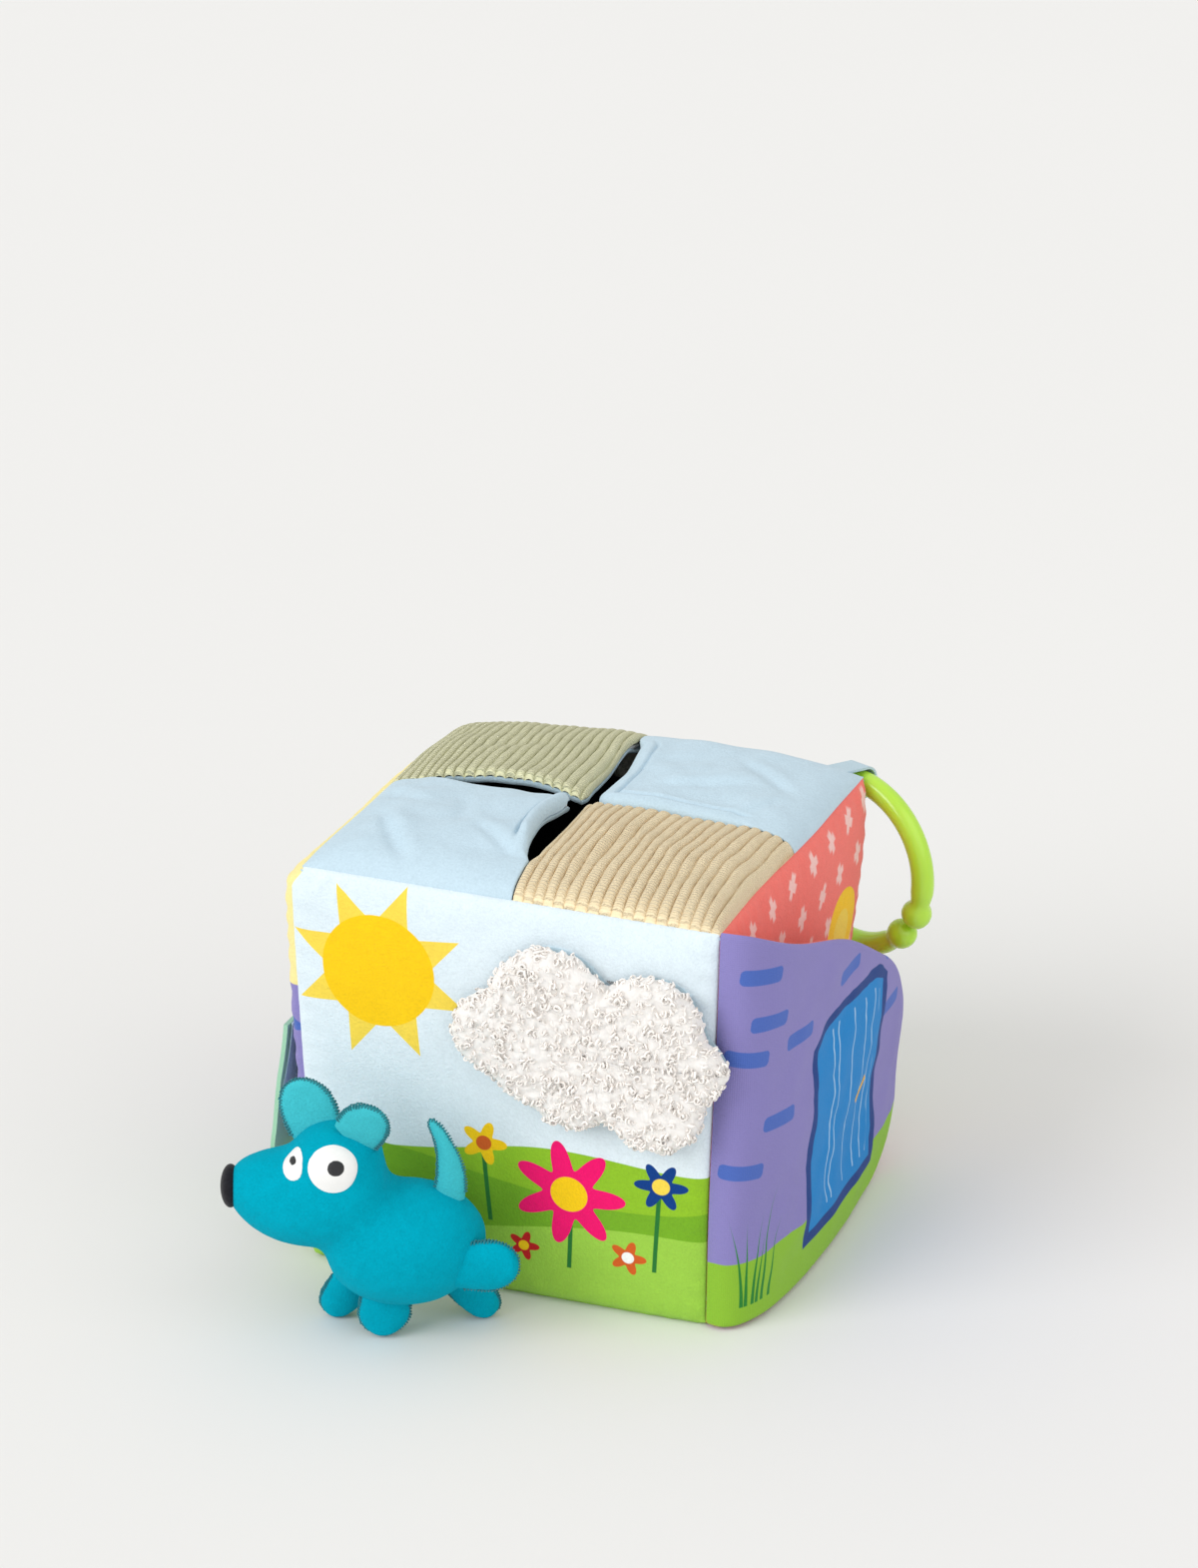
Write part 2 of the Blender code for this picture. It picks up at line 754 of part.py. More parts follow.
body_form = puppy_body("puppy_body", 0)
body_cutter = puppy_body("body_cutter", clearance)
head_form = puppy_head("puppy_head", 0)
head_cutter = puppy_head("head_cutter", clearance)
cut_with(head_form, body_cutter)
puppy_pieces = [body_form, head_form, body_cutter, head_cutter]

leg_swells = ((0.05, 0.62), (0.35, 0.86), (0.62, 1.0), (0.84, 0.94), (0.96, 0.62))
leg_across = Vector((leg_width / 2, 0, 0))
leg_through = front_to_back * leg_thickness / 2
standing_leg_shares = {
    "front_near": (-0.24, -0.16, -0.12),
    "front_far": (-0.72, 0.24, 0.52),
    "hind_far": (0.85, 0.26, 0.52),
}
for place, (along, hip_aside, foot_aside) in standing_leg_shares.items():
    foot = body_place(along, foot_aside, -leg_sink)
    hip = body_place(along, hip_aside, leg_height)
    leg = limb(f"puppy_{place}_leg", hip, foot, leg_swells, leg_across, leg_through, 10)
    cut_level(leg, 0, True)
    cut_with(leg, body_cutter)
    puppy_pieces.append(leg)

raised_hip = body_place(0.66, -0.46, raised_leg_height)
raised_foot = raised_hip + Vector((raised_leg_reach, 0, 0))
raised_across = upward * leg_width / 2
raised_leg = limb("puppy_hind_near_leg", raised_hip, raised_foot, leg_swells, raised_across, leg_through, 10)
cut_with(raised_leg, body_cutter)
puppy_pieces.append(raised_leg)

ear_swells = ((0.0, 0.62), (0.25, 0.88), (0.5, 1.0), (0.75, 0.95), (0.93, 0.62))
ear_shares = {"near": (0.22, -0.22, 0.60), "far": (0.46, 0.20, -0.42)}
head_top = head_back_height + head_height / 2
for place, (along, aside, lean) in ear_shares.items():
    facing = math.copysign(1, aside)
    root = puppy_centre - Vector((head_back_reach + head_length * along, 0, 0))
    root += Vector((0, aside * head_width / 2, head_top - ear_thickness))
    bend = root + Vector((lean * ear_rise / 2, facing * ear_spread, ear_rise * 2 / 3))
    tip = root + Vector((lean * ear_rise, facing * ear_spread * 2, ear_rise))
    ear_across = Vector((ear_width / 2, 0, -lean * ear_width / 2))
    ear_rings = []
    for way_along, swell in ear_swells:
        back, ahead = 1 - way_along, way_along
        centre = root * back**2 + bend * 2 * ahead * back + tip * ahead**2
        way = (bend - root) * back + (tip - bend) * ahead
        through = way.cross(ear_across).normalized() * ear_thickness / 2
        ear_rings.append(oval(centre, ear_across * swell, through * swell, 8))
    ear = ringed(f"puppy_{place}_ear", root, ear_rings, tip, "teal_velour")
    cut_with(ear, head_cutter)
    puppy_pieces.append(ear)

tail_swells = ((0.02, 1.0), (0.35, 0.85), (0.65, 0.6), (0.93, 0.25))
tail_along_share = 0.50
tail_rise_share = 0.38
tail_root = body_place(tail_along_share, 0, body_middle_height + body_height * tail_rise_share)
tail_tip = tail_root + Vector((-tail_width / 2, 0, tail_length))
tail_across = Vector((tail_width / 2, 0, 0))
tail_through = front_to_back * tail_thickness / 2
tail = limb("puppy_tail", tail_root, tail_tip, tail_swells, tail_across, tail_through, 8)
cut_with(tail, body_cutter)
puppy_pieces.append(tail)

nose_back = muzzle_tip + Vector((nose_depth / 2, 0, 0))
nose_front = muzzle_tip - Vector((nose_depth / 2, 0, 0))
nose_rings = []
for along, swell in nose_shares:
    wide = front_to_back * nose_width / 2 * swell
    nose_rings.append(oval(nose_back.lerp(nose_front, along), wide, upward * nose_height / 2 * swell, 10))
nose = ringed("puppy_nose", nose_back, nose_rings, nose_front, "black_velour")
cut_with(nose, head_cutter)
puppy_pieces.append(nose)

carry("puppy_stand", puppy_centre, puppy_pieces)
bpy.data.objects["puppy_stand"].rotation_euler.z = puppy_turn
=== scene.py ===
"""Looks of the soft fabric block and its plush puppy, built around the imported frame."""

import math

import bmesh
import bpy
import numpy as np
from mathutils import Matrix, Vector, noise


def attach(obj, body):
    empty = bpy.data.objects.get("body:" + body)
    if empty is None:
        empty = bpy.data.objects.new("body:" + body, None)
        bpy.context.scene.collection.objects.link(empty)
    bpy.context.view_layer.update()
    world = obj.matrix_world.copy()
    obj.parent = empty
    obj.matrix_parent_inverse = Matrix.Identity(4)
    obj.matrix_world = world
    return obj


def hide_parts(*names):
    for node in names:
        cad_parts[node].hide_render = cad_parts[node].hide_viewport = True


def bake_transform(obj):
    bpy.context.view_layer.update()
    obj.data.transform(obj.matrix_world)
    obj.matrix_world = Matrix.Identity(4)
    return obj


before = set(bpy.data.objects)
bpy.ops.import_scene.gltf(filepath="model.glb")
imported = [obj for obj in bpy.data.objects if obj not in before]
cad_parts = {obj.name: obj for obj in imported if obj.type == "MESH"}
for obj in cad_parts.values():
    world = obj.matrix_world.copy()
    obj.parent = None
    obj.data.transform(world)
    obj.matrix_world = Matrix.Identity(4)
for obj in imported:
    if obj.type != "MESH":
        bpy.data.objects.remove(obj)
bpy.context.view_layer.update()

# Camera, lights and floor.
# A long lens looks down on the block from its front-right corner. One wide soft sun stands high on the
# left, a pale sky fills the rest, and the floor is a plain pale sheet that keeps the object's shadow.

camera = bpy.data.objects.new("camera", bpy.data.cameras.new("camera"))
bpy.context.scene.collection.objects.link(camera)
camera.data.lens = 100
camera.data.sensor_width = 36
camera.data.sensor_fit = "AUTO"
camera.location = (0.4732, -1.3111, 0.7678)
camera.rotation_euler = (math.radians(90 - 23.464), 0, math.radians(19.536))
bpy.context.scene.camera = camera

bpy.context.scene.view_settings.view_transform = "Standard"


def add_sun(name, strength, breadth, tilt, turn):
    lamp = bpy.data.lights.new(name, "SUN")
    lamp.energy = strength
    lamp.angle = math.radians(breadth)
    sun = bpy.data.objects.new(name, lamp)
    sun.rotation_euler = (math.radians(tilt), 0, math.radians(turn))
    bpy.context.scene.collection.objects.link(sun)


add_sun("window_light", 1.45, 38, 60, -38)
add_sun("room_light", 0.55, 60, 55, 62)

sky = bpy.data.worlds.new("sky")
sky.use_nodes = True
sky.node_tree.nodes["Background"].inputs["Color"].default_value = (1.0, 0.995, 0.985, 1)
sky.node_tree.nodes["Background"].inputs["Strength"].default_value = 0.765
bpy.context.scene.world = sky


class Value:
    """A number, colour or place in a material; sums on it add the nodes that work them out."""

    def __init__(self, tree, socket):
        self.tree, self.socket = tree, socket

    def node(self, kind, settings=(), sockets=(), output=0):
        made = self.tree.nodes.new(kind)
        for name, setting in dict(settings).items():
            if name == "stops":
                ramp = made.color_ramp.elements
                while len(ramp) < len(setting):
                    ramp.new(0.5)
                for stop, (place, shade) in zip(ramp, setting):
                    stop.position, stop.color = place, (shade, shade, shade, 1)
            else:
                setattr(made, name, setting)
        for name, value in dict(sockets).items():
            if isinstance(value, Value):
                self.tree.links.new(value.socket, made.inputs[name])
            else:
                made.inputs[name].default_value = value
        return Value(self.tree, made.outputs[output])

    def maths(self, operation, *values):
        return self.node("ShaderNodeMath", {"operation": operation}, dict(enumerate(values)))

    def __add__(self, other):
        return self.maths("ADD", self, other)

    def __sub__(self, other):
        return self.maths("SUBTRACT", self, other)

    def __rsub__(self, other):
        return self.maths("SUBTRACT", other, self)

    def __mul__(self, other):
        return self.maths("MULTIPLY", self, other)

    def __truediv__(self, other):
        return self.maths("DIVIDE", self, other)

    def __rtruediv__(self, other):
        return self.maths("DIVIDE", other, self)

    def __pow__(self, other):
        return self.maths("POWER", self, other)

    def __abs__(self):
        return self.maths("ABSOLUTE", self)

    __radd__, __rmul__ = __add__, __mul__

    def sine(self):
        return self.maths("SINE", self)

    def part(self):
        return self.maths("FRACT", self)

    def whole(self):
        return self.maths("FLOOR", self)

    def least(self, other):
        return self.maths("MINIMUM", self, other)

    def most(self, other):
        return self.maths("MAXIMUM", self, other)

    def within(self, edge, soft=0.0003):
        """1 where this is less than the edge, 0 past it, with a softly printed line between."""
        return (0.5 + (edge - self) / soft).maths("MAXIMUM", 0.5 + (edge - self) / soft, 0).least(1)

    def noise(self, grain, detail=2.0, rough=0.5):
        """Noise from 0 to 1 whose blots are about as wide as the grain, in metres."""
        sockets = {"Vector": self, "Scale": 1 / grain, "Detail": detail, "Roughness": rough}
        return self.node("ShaderNodeTexNoise", {"noise_dimensions": "3D"}, sockets)

    def split(self):
        apart = self.node("ShaderNodeSeparateXYZ", (), {0: self})
        sockets = apart.socket.node.outputs
        return [Value(self.tree, sockets[axis]) for axis in range(3)]

    def dye(self, under, over):
        """A colour between two, by this share."""
        return self.node("ShaderNodeMix", {"data_type": "RGBA"}, {0: self, 6: under, 7: over}, 2)


def srgb(red, green, blue):
    shares = [value / 255 for value in (red, green, blue)]
    return tuple(s / 12.92 if s <= 0.04045 else ((s + 0.055) / 1.055) ** 2.4 for s in shares) + (1.0,)


def new_material(name, roughness=0.9, **sockets):
    """A material with its Principled shader, its constants set, and the place of a point on the piece."""
    material = bpy.data.materials.new(name)
    material.use_nodes = True
    tree = material.node_tree
    shader = tree.nodes["Principled BSDF"]
    shader.inputs["Roughness"].default_value = roughness
    for socket, value in sockets.items():
        shader.inputs[socket.replace("_", " ")].default_value = value
    coordinates = tree.nodes.new("ShaderNodeTexCoord")
    places = Value(tree, coordinates.outputs["Object"]), Value(tree, coordinates.outputs["UV"])
    return material, shader, places


def feed(shader, socket, value):
    value.tree.links.new(value.socket, shader.inputs[socket])


def raised(height, distance, strength=1.0):
    return height.node("ShaderNodeBump", (), {"Height": height, "Distance": distance, "Strength": strength})


def floor_material():
    material, shader, (place, _) = new_material("floor_paper", 0.9, Specular_IOR_Level=0.1)
    base = place.noise(0.4).dye((0.80, 0.797, 0.785, 1), (0.815, 0.811, 0.80, 1))
    feed(shader, "Base Color", base)
    return material


floor_mesh = bpy.data.meshes.new("floor")
floor_mesh.from_pydata([(-9, -9, 0), (9, -9, 0), (9, 9, 0), (-9, 9, 0)], [], [(0, 1, 2, 3)])
floor = bpy.data.objects.new("floor", floor_mesh)
floor.location.z = -0.0002
floor.data.materials.append(floor_material())
bpy.context.scene.collection.objects.link(floor)


# Walls of the block: five velour covers, each over its foam pad.
# Printed velour panels are cut to the side of the cube, sewn right sides together and turned out, so each
# edge rolls into a narrow groove. The pads are foam sheet, cut flat behind and pressed soft in front.

block_side = 0.150
half_side = block_side / 2
seam_inset = 0.0010
edge_half = half_side - seam_inset
wall_crown = 0.004
cloth = 0.0012
seat = 0.0003
wall_roundness = 9


def piece_from(name, points, faces, material, corner=55, uvs=None):
    """A mesh piece from points and faces, shaded smooth but for its sharp corners."""
    mesh = bpy.data.meshes.new(name)
    mesh.from_pydata([tuple(point) for point in points], [], [tuple(face) for face in faces])
    if uvs is not None:
        layer = mesh.uv_layers.new(name="cloth")
        corners = np.zeros(len(mesh.loops), np.int32)
        mesh.loops.foreach_get("vertex_index", corners)
        layer.data.foreach_set("uv", np.asarray(uvs, np.float32)[corners].ravel())
    mesh.shade_smooth()
    mesh.set_sharp_from_angle(angle=math.radians(corner))
    obj = bpy.data.objects.new(name, mesh)
    obj.data.materials.append(material)
    bpy.context.scene.collection.objects.link(obj)
    return obj


def settled(obj):
    """The same piece with its modifiers worked into its mesh."""
    depsgraph = bpy.context.evaluated_depsgraph_get()
    mesh = bpy.data.meshes.new_from_object(obj.evaluated_get(depsgraph), depsgraph=depsgraph)
    obj.modifiers.clear()
    obj.data = mesh
    return obj


def grid_faces(rows, columns):
    first = (np.arange(rows - 1)[:, None] * columns + np.arange(columns - 1)).ravel()
    return np.stack([first, first + 1, first + columns + 1, first + columns], 1)


def cloth_sheet(name, grid, thickness, material, facing, uvs=None, corner=55):
    """A sewn cloth from a grid of points on its right side, given its thickness on the wrong side."""
    rows, columns = grid.shape[:2]
    across = grid[rows // 2, 1:] - grid[rows // 2, :-1]
    down = grid[1:, columns // 2] - grid[:-1, columns // 2]
    if np.dot(np.cross(across.mean(0), down.mean(0)), facing) < 0:
        grid = grid[::-1]
        uvs = None if uvs is None else uvs[::-1]
    flat_uvs = None if uvs is None else uvs.reshape(-1, 2)
    obj = piece_from(name, grid.reshape(-1, 3), grid_faces(rows, columns), material, corner, flat_uvs)
    wall = obj.modifiers.new("thickness", "SOLIDIFY")
    wall.thickness = thickness
    wall.offset = -1
    settled(obj)
    obj.data.shade_smooth()
    obj.data.set_sharp_from_angle(angle=math.radians(corner))
    return obj


def gathered(count, tight=0.82):
    """Shares from -1 to 1, closer together near the seams."""
    even = np.linspace(-1, 1, count)
    return (1 - tight) * even + tight * np.sin(even * math.pi / 2)


def rumple(points, grain, seed=0.0):
    """Soft noise from -1 to 1 at each point, with folds about as wide as the grain."""
    flat = points.reshape(-1, 3) / grain + seed
    return np.array([noise.noise(Vector(p)) for p in flat]).reshape(points.shape[:-1])


def fullness(share, roundness):
    return np.sqrt(np.clip(1 - np.abs(share) ** roundness, 0, 1))


def eased(share):
    share = np.clip(share, 0, 1)
    return share * share * (3 - 2 * share)


def settle(points):
    """How the stuffed cube stands: narrower below, one corner drawn out, the left seam pulled over the top."""
    points = points.copy()
    x, y, z = (points[..., axis].copy() for axis in range(3))
    high = np.clip(z / block_side, 0, 1)
    points[..., :2] *= (1 + 0.012 * high - 0.016 * (1 - high) ** 1.3)[..., None]
    points[..., 2] += high * (0.0001 - 0.0011 * x / half_side - 0.0025 * y / half_side)
    points[..., 0] -= 0.45 * np.clip(-x - edge_half, 0, 0.01) * (x < 0)
    drawn = np.maximum(np.clip(1 - (x / half_side) ** 2, 0, 1), np.exp(-((y / 0.045) ** 2)) * (x > 0))
    points[..., 0] += 0.0037 * high**2 * drawn * (1 - 0.6 * eased((y - 0.02) / 0.05))
    behind = eased((y - 0.02) / 0.05) * high**2
    bulge, dip = 0.0016 * np.exp(-((x - 0.012) / 0.04) ** 2), 0.0030 * eased((-x - 0.01) / 0.06)
    points[..., 2] += behind * (bulge - dip)
    corner = eased((x + 0.02) / 0.095) * eased((y + 0.02) / 0.095) * eased((z - 0.02) / 0.13)
    points += corner[..., None] * np.array([0.0065, 0.0024, 0])
    front = eased((-x - 0.02) / 0.055) * eased((-y - 0.02) / 0.055) * eased((z - 0.03) / 0.12)
    points[..., 0] -= 0.0020 * front
    near = eased((x - 0.02) / 0.055) * eased((-y - 0.02) / 0.055) * eased((z - 0.03) / 0.12)
    points[..., 0] += 0.0018 * near
    over = eased((-x - 0.048) / 0.024) * eased((z - 0.1405) / 0.008)
    points[..., 0] += (0.0034 - 0.0012 * y / half_side) * over
    return points


wall_sides = {
    "front": ((0, -1, 0), (1, 0, 0), (0, 0, 1)),
    "right": ((1, 0, 0), (0, 1, 0), (0, 0, 1)),
    "back": ((0, 1, 0), (-1, 0, 0), (0, 0, 1)),
    "left": ((-1, 0, 0), (0, -1, 0), (0, 0, 1)),
    "base": ((0, 0, -1), (1, 0, 0), (0, 1, 0)),
}
pucker_pitch = 0.0085
pucker_height = 0.00055


def wall_grid(side, depth, count):
    """Points of a wall at a depth under its face; puckers run in from its seams."""
    outward, across, up = (np.array(v, float) for v in wall_sides[side])
    a, b = np.meshgrid(gathered(count), gathered(count))
    reach = edge_half - depth
    base = np.array([0, 0, half_side]) + across * a[..., None] * reach + up * b[..., None] * reach
    full = fullness(a, wall_roundness) * fullness(b, wall_roundness)
    swell = (seam_inset + wall_crown) * full - seam_inset
    to_seam = (1 - np.maximum(np.abs(a), np.abs(b))) * reach
    along = np.where(np.abs(a) > np.abs(b), b, a) * reach
    gather = np.sin(2 * math.pi * along / pucker_pitch + 5 * rumple(base, 0.03, 3.0))
    near = np.exp(-to_seam / 0.0055) * (1 - np.exp(-to_seam / 0.0018))
    swell = swell + pucker_height * gather * near
    swell = swell + 0.0009 * rumple(base, 0.035) * np.clip(to_seam / 0.01, 0, 1)
    if side == "base":
        swell = np.minimum(swell, 0)
    return settle(base + outward * (half_side + swell - depth)[..., None])


def nap(shader, place, base, deep=0.0005, shade=0.12, grain=0.0009):
    """Velour pile on a colour: light and dark strokes of the nap, and a fine furry surface."""
    strokes = place.noise(0.016, 2) * 0.45 + place.noise(0.0035, 3) * 0.55
    pile = place.noise(grain, 3, 0.65)
    shadow = ((strokes - 0.5) * 1.2 + (pile - 0.5) * 2.0 + 0.5).most(0).least(1)
    darker = base.node("ShaderNodeMix", {"data_type": "RGBA", "blend_type": "MULTIPLY"},
                       {0: 1.0, 6: base, 7: (1 - shade, 1 - shade, 1 - shade, 1)}, 2)
    feed(shader, "Base Color", shadow.dye(darker, base))
    feed(shader, "Roughness", 0.84 + pile * 0.12)
    feed(shader, "Normal", raised(pile + strokes * 0.6, deep, 0.75))


def plain(place, colour):
    return (place.noise(0.05) * 0.0 + 1).dye(colour, colour)


velour_sockets = {"Sheen_Weight": 0.15, "Sheen_Roughness": 0.45, "Specular_IOR_Level": 0.15}

sky_blue = srgb(226, 240, 248)
pale_blue = srgb(232, 243, 249)
hill_green = srgb(146, 196, 42)
deep_green = srgb(120, 176, 38)
light_green = srgb(158, 208, 74)
sun_yellow = srgb(255, 208, 18)
ray_yellow = srgb(251, 220, 82)
hot_pink = srgb(248, 12, 112)
petal_red = srgb(200, 30, 34)
petal_navy = srgb(6, 62, 138)
petal_orange = srgb(214, 96, 34)
white_print = srgb(250, 250, 248)


def blossom(colour, x, z, middle, reach, petals, dyes):
    """A printed flower: petals round a middle, on a colour."""
    dx, dz = x - middle[0], z - middle[1]
    away = (dx * dx + dz * dz) ** 0.5
    turn = dz.maths("ARCTAN2", dz, dx)
    edge = reach * (0.74 + 0.26 * (turn * petals).maths("COSINE", turn * petals))
    colour = away.within(edge).dye(colour, dyes[0])
    return away.within(reach * 0.33).dye(colour, dyes[1])


def front_print(place):
    """Morning sky with a sun, rolling hills and a bed of flowers."""
    x, _, z = place.split()
    colour = (z * 7.0).most(0).least(1).dye(pale_blue, sky_blue)
    sx, sz = x + 0.0437, z - 0.1196
    away = (sx * sx + sz * sz) ** 0.5
    turn = sz.maths("ARCTAN2", sz, sx) / (2 * math.pi) * 8 + 0.9
    aside = abs(turn.part() - 0.5) * (2 * math.pi / 8)
    core, tip, spread = 0.0207, 0.0335, math.radians(15)
    edge = core * tip * math.sin(spread) / (tip * aside.sine() + core * (spread - aside).sine())
    colour = away.within(edge).dye(colour, ray_yellow)
    colour = away.within(core).dye(colour, sun_yellow)
    far_hill = 0.0580 + x * 0.05 + (x * 52 + 0.6).sine() * 0.0030
    colour = z.within(far_hill).dye(colour, hill_green)
    mid_hill = 0.0480 + (x * 31 + 3.4).sine() * 0.0060
    colour = z.within(mid_hill).dye(colour, deep_green)
    near_hill = 0.0300 + (x * 36 - 0.4).sine() * 0.0045
    colour = z.within(near_hill).dye(colour, light_green)
    stems = ((0.0245, 0.016, 0.045, 0.05), (-0.004, 0.030, 0.058, -0.08), (0.0555, 0.020, 0.050, 0.06))
    for sx, low, high, lean in stems:
        stalk = abs(x - sx - (z - low) * lean).within(0.0008)
        colour = (stalk * z.within(high) * (1 - z.within(low))).dye(colour, srgb(40, 120, 52))
    colour = blossom(colour, x, z, (-0.006, 0.060), 0.0085, 5, (sun_yellow, petal_orange))
    colour = blossom(colour, x, z, (0.0580, 0.054), 0.0095, 6, (petal_navy, ray_yellow))
    colour = blossom(colour, x, z, (0.046, 0.024), 0.0068, 5, (petal_orange, white_print))
    colour = blossom(colour, x, z, (0.008, 0.022), 0.0058, 5, (petal_red, sun_yellow))
    return blossom(colour, x, z, (0.025, 0.0455), 0.0205, 7, (hot_pink, sun_yellow))


coral = srgb(250, 124, 114)
pale_coral = srgb(252, 206, 200)


def scattered_marks(colour, across, up):
    """Small printed crosses, in staggered rows, each turned a little its own way."""
    row = up / 0.0165
    shifted = across / 0.0200 + (row.whole() * 0.5).part()
    turn = (row.whole() * 2.7 + shifted.whole() * 4.3).sine() * 0.6
    u, v = (shifted.part() - 0.5) * 0.0200, (row.part() - 0.5) * 0.0165
    cosine, sine = turn.maths("COSINE", turn), turn.sine()
    p, q = abs(u * cosine + v * sine), abs(v * cosine - u * sine)
    arms = (p / 0.0015).most(q / 0.0046).least((p / 0.0036).most(q / 0.0017))
    return arms.within(1, 0.3).dye(colour, pale_coral)


def right_print(place):
    """Coral with scattered pale crosses and one plain yellow round."""
    _, y, z = place.split()
    colour = scattered_marks(plain(place, coral), y, z)
    dy, dz = y - 0.047, z - 0.098
    away = (dy * dy + dz * dz) ** 0.5
    colour = away.within(0.0165).dye(colour, sun_yellow)
    return away.within(0.0085).dye(colour, ray_yellow)


def back_print(place):
    """The sky goes on round the back, over the same hills."""
    x, _, z = place.split()
    colour = (z * 7.0).most(0).least(1).dye(pale_blue, sky_blue)
    for cx, cz, size in ((-0.030, 0.112, 1.0), (0.036, 0.098, 0.8)):
        for ox, oz, reach in ((-0.011, -0.001, 0.0075), (0, 0.003, 0.0105), (0.012, -0.001, 0.0075)):
            dx, dz = x - cx - ox * size, z - cz - oz * size
            colour = ((dx * dx + dz * dz) ** 0.5).within(reach * size).dye(colour, white_print)
    colour = z.within(0.056 + (x * 34).sine() * 0.007).dye(colour, hill_green)
    return z.within(0.030 + (x * 27 + 1.5).sine() * 0.006).dye(colour, light_green)


def left_print(place):
    """Cream above a purple garden wall with its bricks."""
    _, y, z = place.split()
    colour = plain(place, srgb(250, 235, 160))
    colour = z.within(0.106 + (y * 45).sine() * 0.003).dye(colour, srgb(143, 134, 196))
    row = z / 0.0165
    shifted = y / 0.034 + (row.whole() * 0.5).part()
    u, v = abs(shifted.part() - 0.5) * 0.034, abs(row.part() - 0.5) * 0.0165
    brick = (u - 0.0042).most(0).most(v)
    brick = ((u - 0.0042).most(0) ** 2 + v * v) ** 0.5
    colour = (brick.within(0.0024) * z.within(0.100)).dye(colour, srgb(78, 108, 190))
    return z.within(0.022).dye(colour, light_green)


def base_print(place):
    return plain(place, light_green)


def velour(name, printed, **more):
    material, shader, (place, _) = new_material(name, **velour_sockets)
    nap(shader, place, printed(place), **more)
    return material


def foam_material():
    material, shader, (place, _) = new_material("foam", 0.95)
    pores = place.noise(0.0016, 2)
    feed(shader, "Base Color", pores.dye(srgb(226, 220, 200), srgb(250, 246, 232)))
    feed(shader, "Normal", raised(pores, 0.0006))
    return material


pad_thick = 0.0085
foam = foam_material()
wall_prints = {
    "front": (front_print, "sky_velour"),
    "right": (right_print, "coral_velour"),
    "back": (back_print, "sky_velour"),
    "left": (left_print, "cream_velour"),
    "base": (base_print, "leaf_velour"),
}
for side, (printed, slot) in wall_prints.items():
    outward = wall_sides[side][0]
    material = velour(f"{side}_velour", printed)
    cover = cloth_sheet(f"{side}_wall_cover", wall_grid(side, 0, 89), cloth * 0.9, material, outward)
    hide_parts(f"{side}_panel")
    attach(cover, "block")
    pad = cloth_sheet(f"{side}_wall_pad", wall_grid(side, cloth + seat, 21), pad_thick, foam, outward)
    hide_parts(f"{side}_pad")
    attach(pad, "block")


# Lining: a black fleece bag, open at the top, that the puppy drops into.
# It is sewn in round the top edge and hangs loose against the pads, so its walls sag in soft folds.

lining_half = 0.0604
lining_low, lining_high = 0.0140, 0.1400


def lining_material():
    material, shader, (place, _) = new_material("black_lining", **velour_sockets)
    nap(shader, place, plain(place, srgb(22, 22, 26)), shade=0.3)
    return material


bag = bmesh.new()
bmesh.ops.create_cube(bag, size=2)
bmesh.ops.delete(bag, geom=[f for f in bag.faces if f.normal.z > 0.5], context="FACES_ONLY")
bmesh.ops.subdivide_edges(bag, edges=bag.edges[:], cuts=31, use_grid_fill=True)
for vert in bag.verts:
    x, y, z = vert.co
    height = lining_low + (z + 1) / 2 * (lining_high - lining_low)
    vert.co = Vector((x * lining_half, y * lining_half, height))
    inward = Vector((-x if abs(x) > 0.99 else 0, -y if abs(y) > 0.99 else 0, 1 if z < -0.99 else 0))
    sag = 0.0016 * (1 + noise.noise(vert.co / 0.022)) * (0.0 if z > 0.97 else 1.0)
    vert.co += inward * sag
bmesh.ops.recalc_face_normals(bag, faces=bag.faces)
bag_mesh = bpy.data.meshes.new("lining_bag_cloth")
bag.to_mesh(bag_mesh)
bag.free()
lining = bpy.data.objects.new("lining_bag_cloth", bag_mesh)
lining.data.materials.append(lining_material())
bpy.context.scene.collection.objects.link(lining)
lining_wall = lining.modifiers.new("thickness", "SOLIDIFY")
lining_wall.thickness = 0.0008
lining_wall.offset = 0
settled(lining)
lining.data.shade_smooth()
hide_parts("lining_bag")
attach(lining, "block")


# Slit top: four padded quadrants, two of them corduroy.
# Each quadrant is a cloth over wadding with a light-blue backing, bagged out, sewn into the seams on its two
# outer sides and free on its two inner sides, so a hand pushes in through the crossed slits.

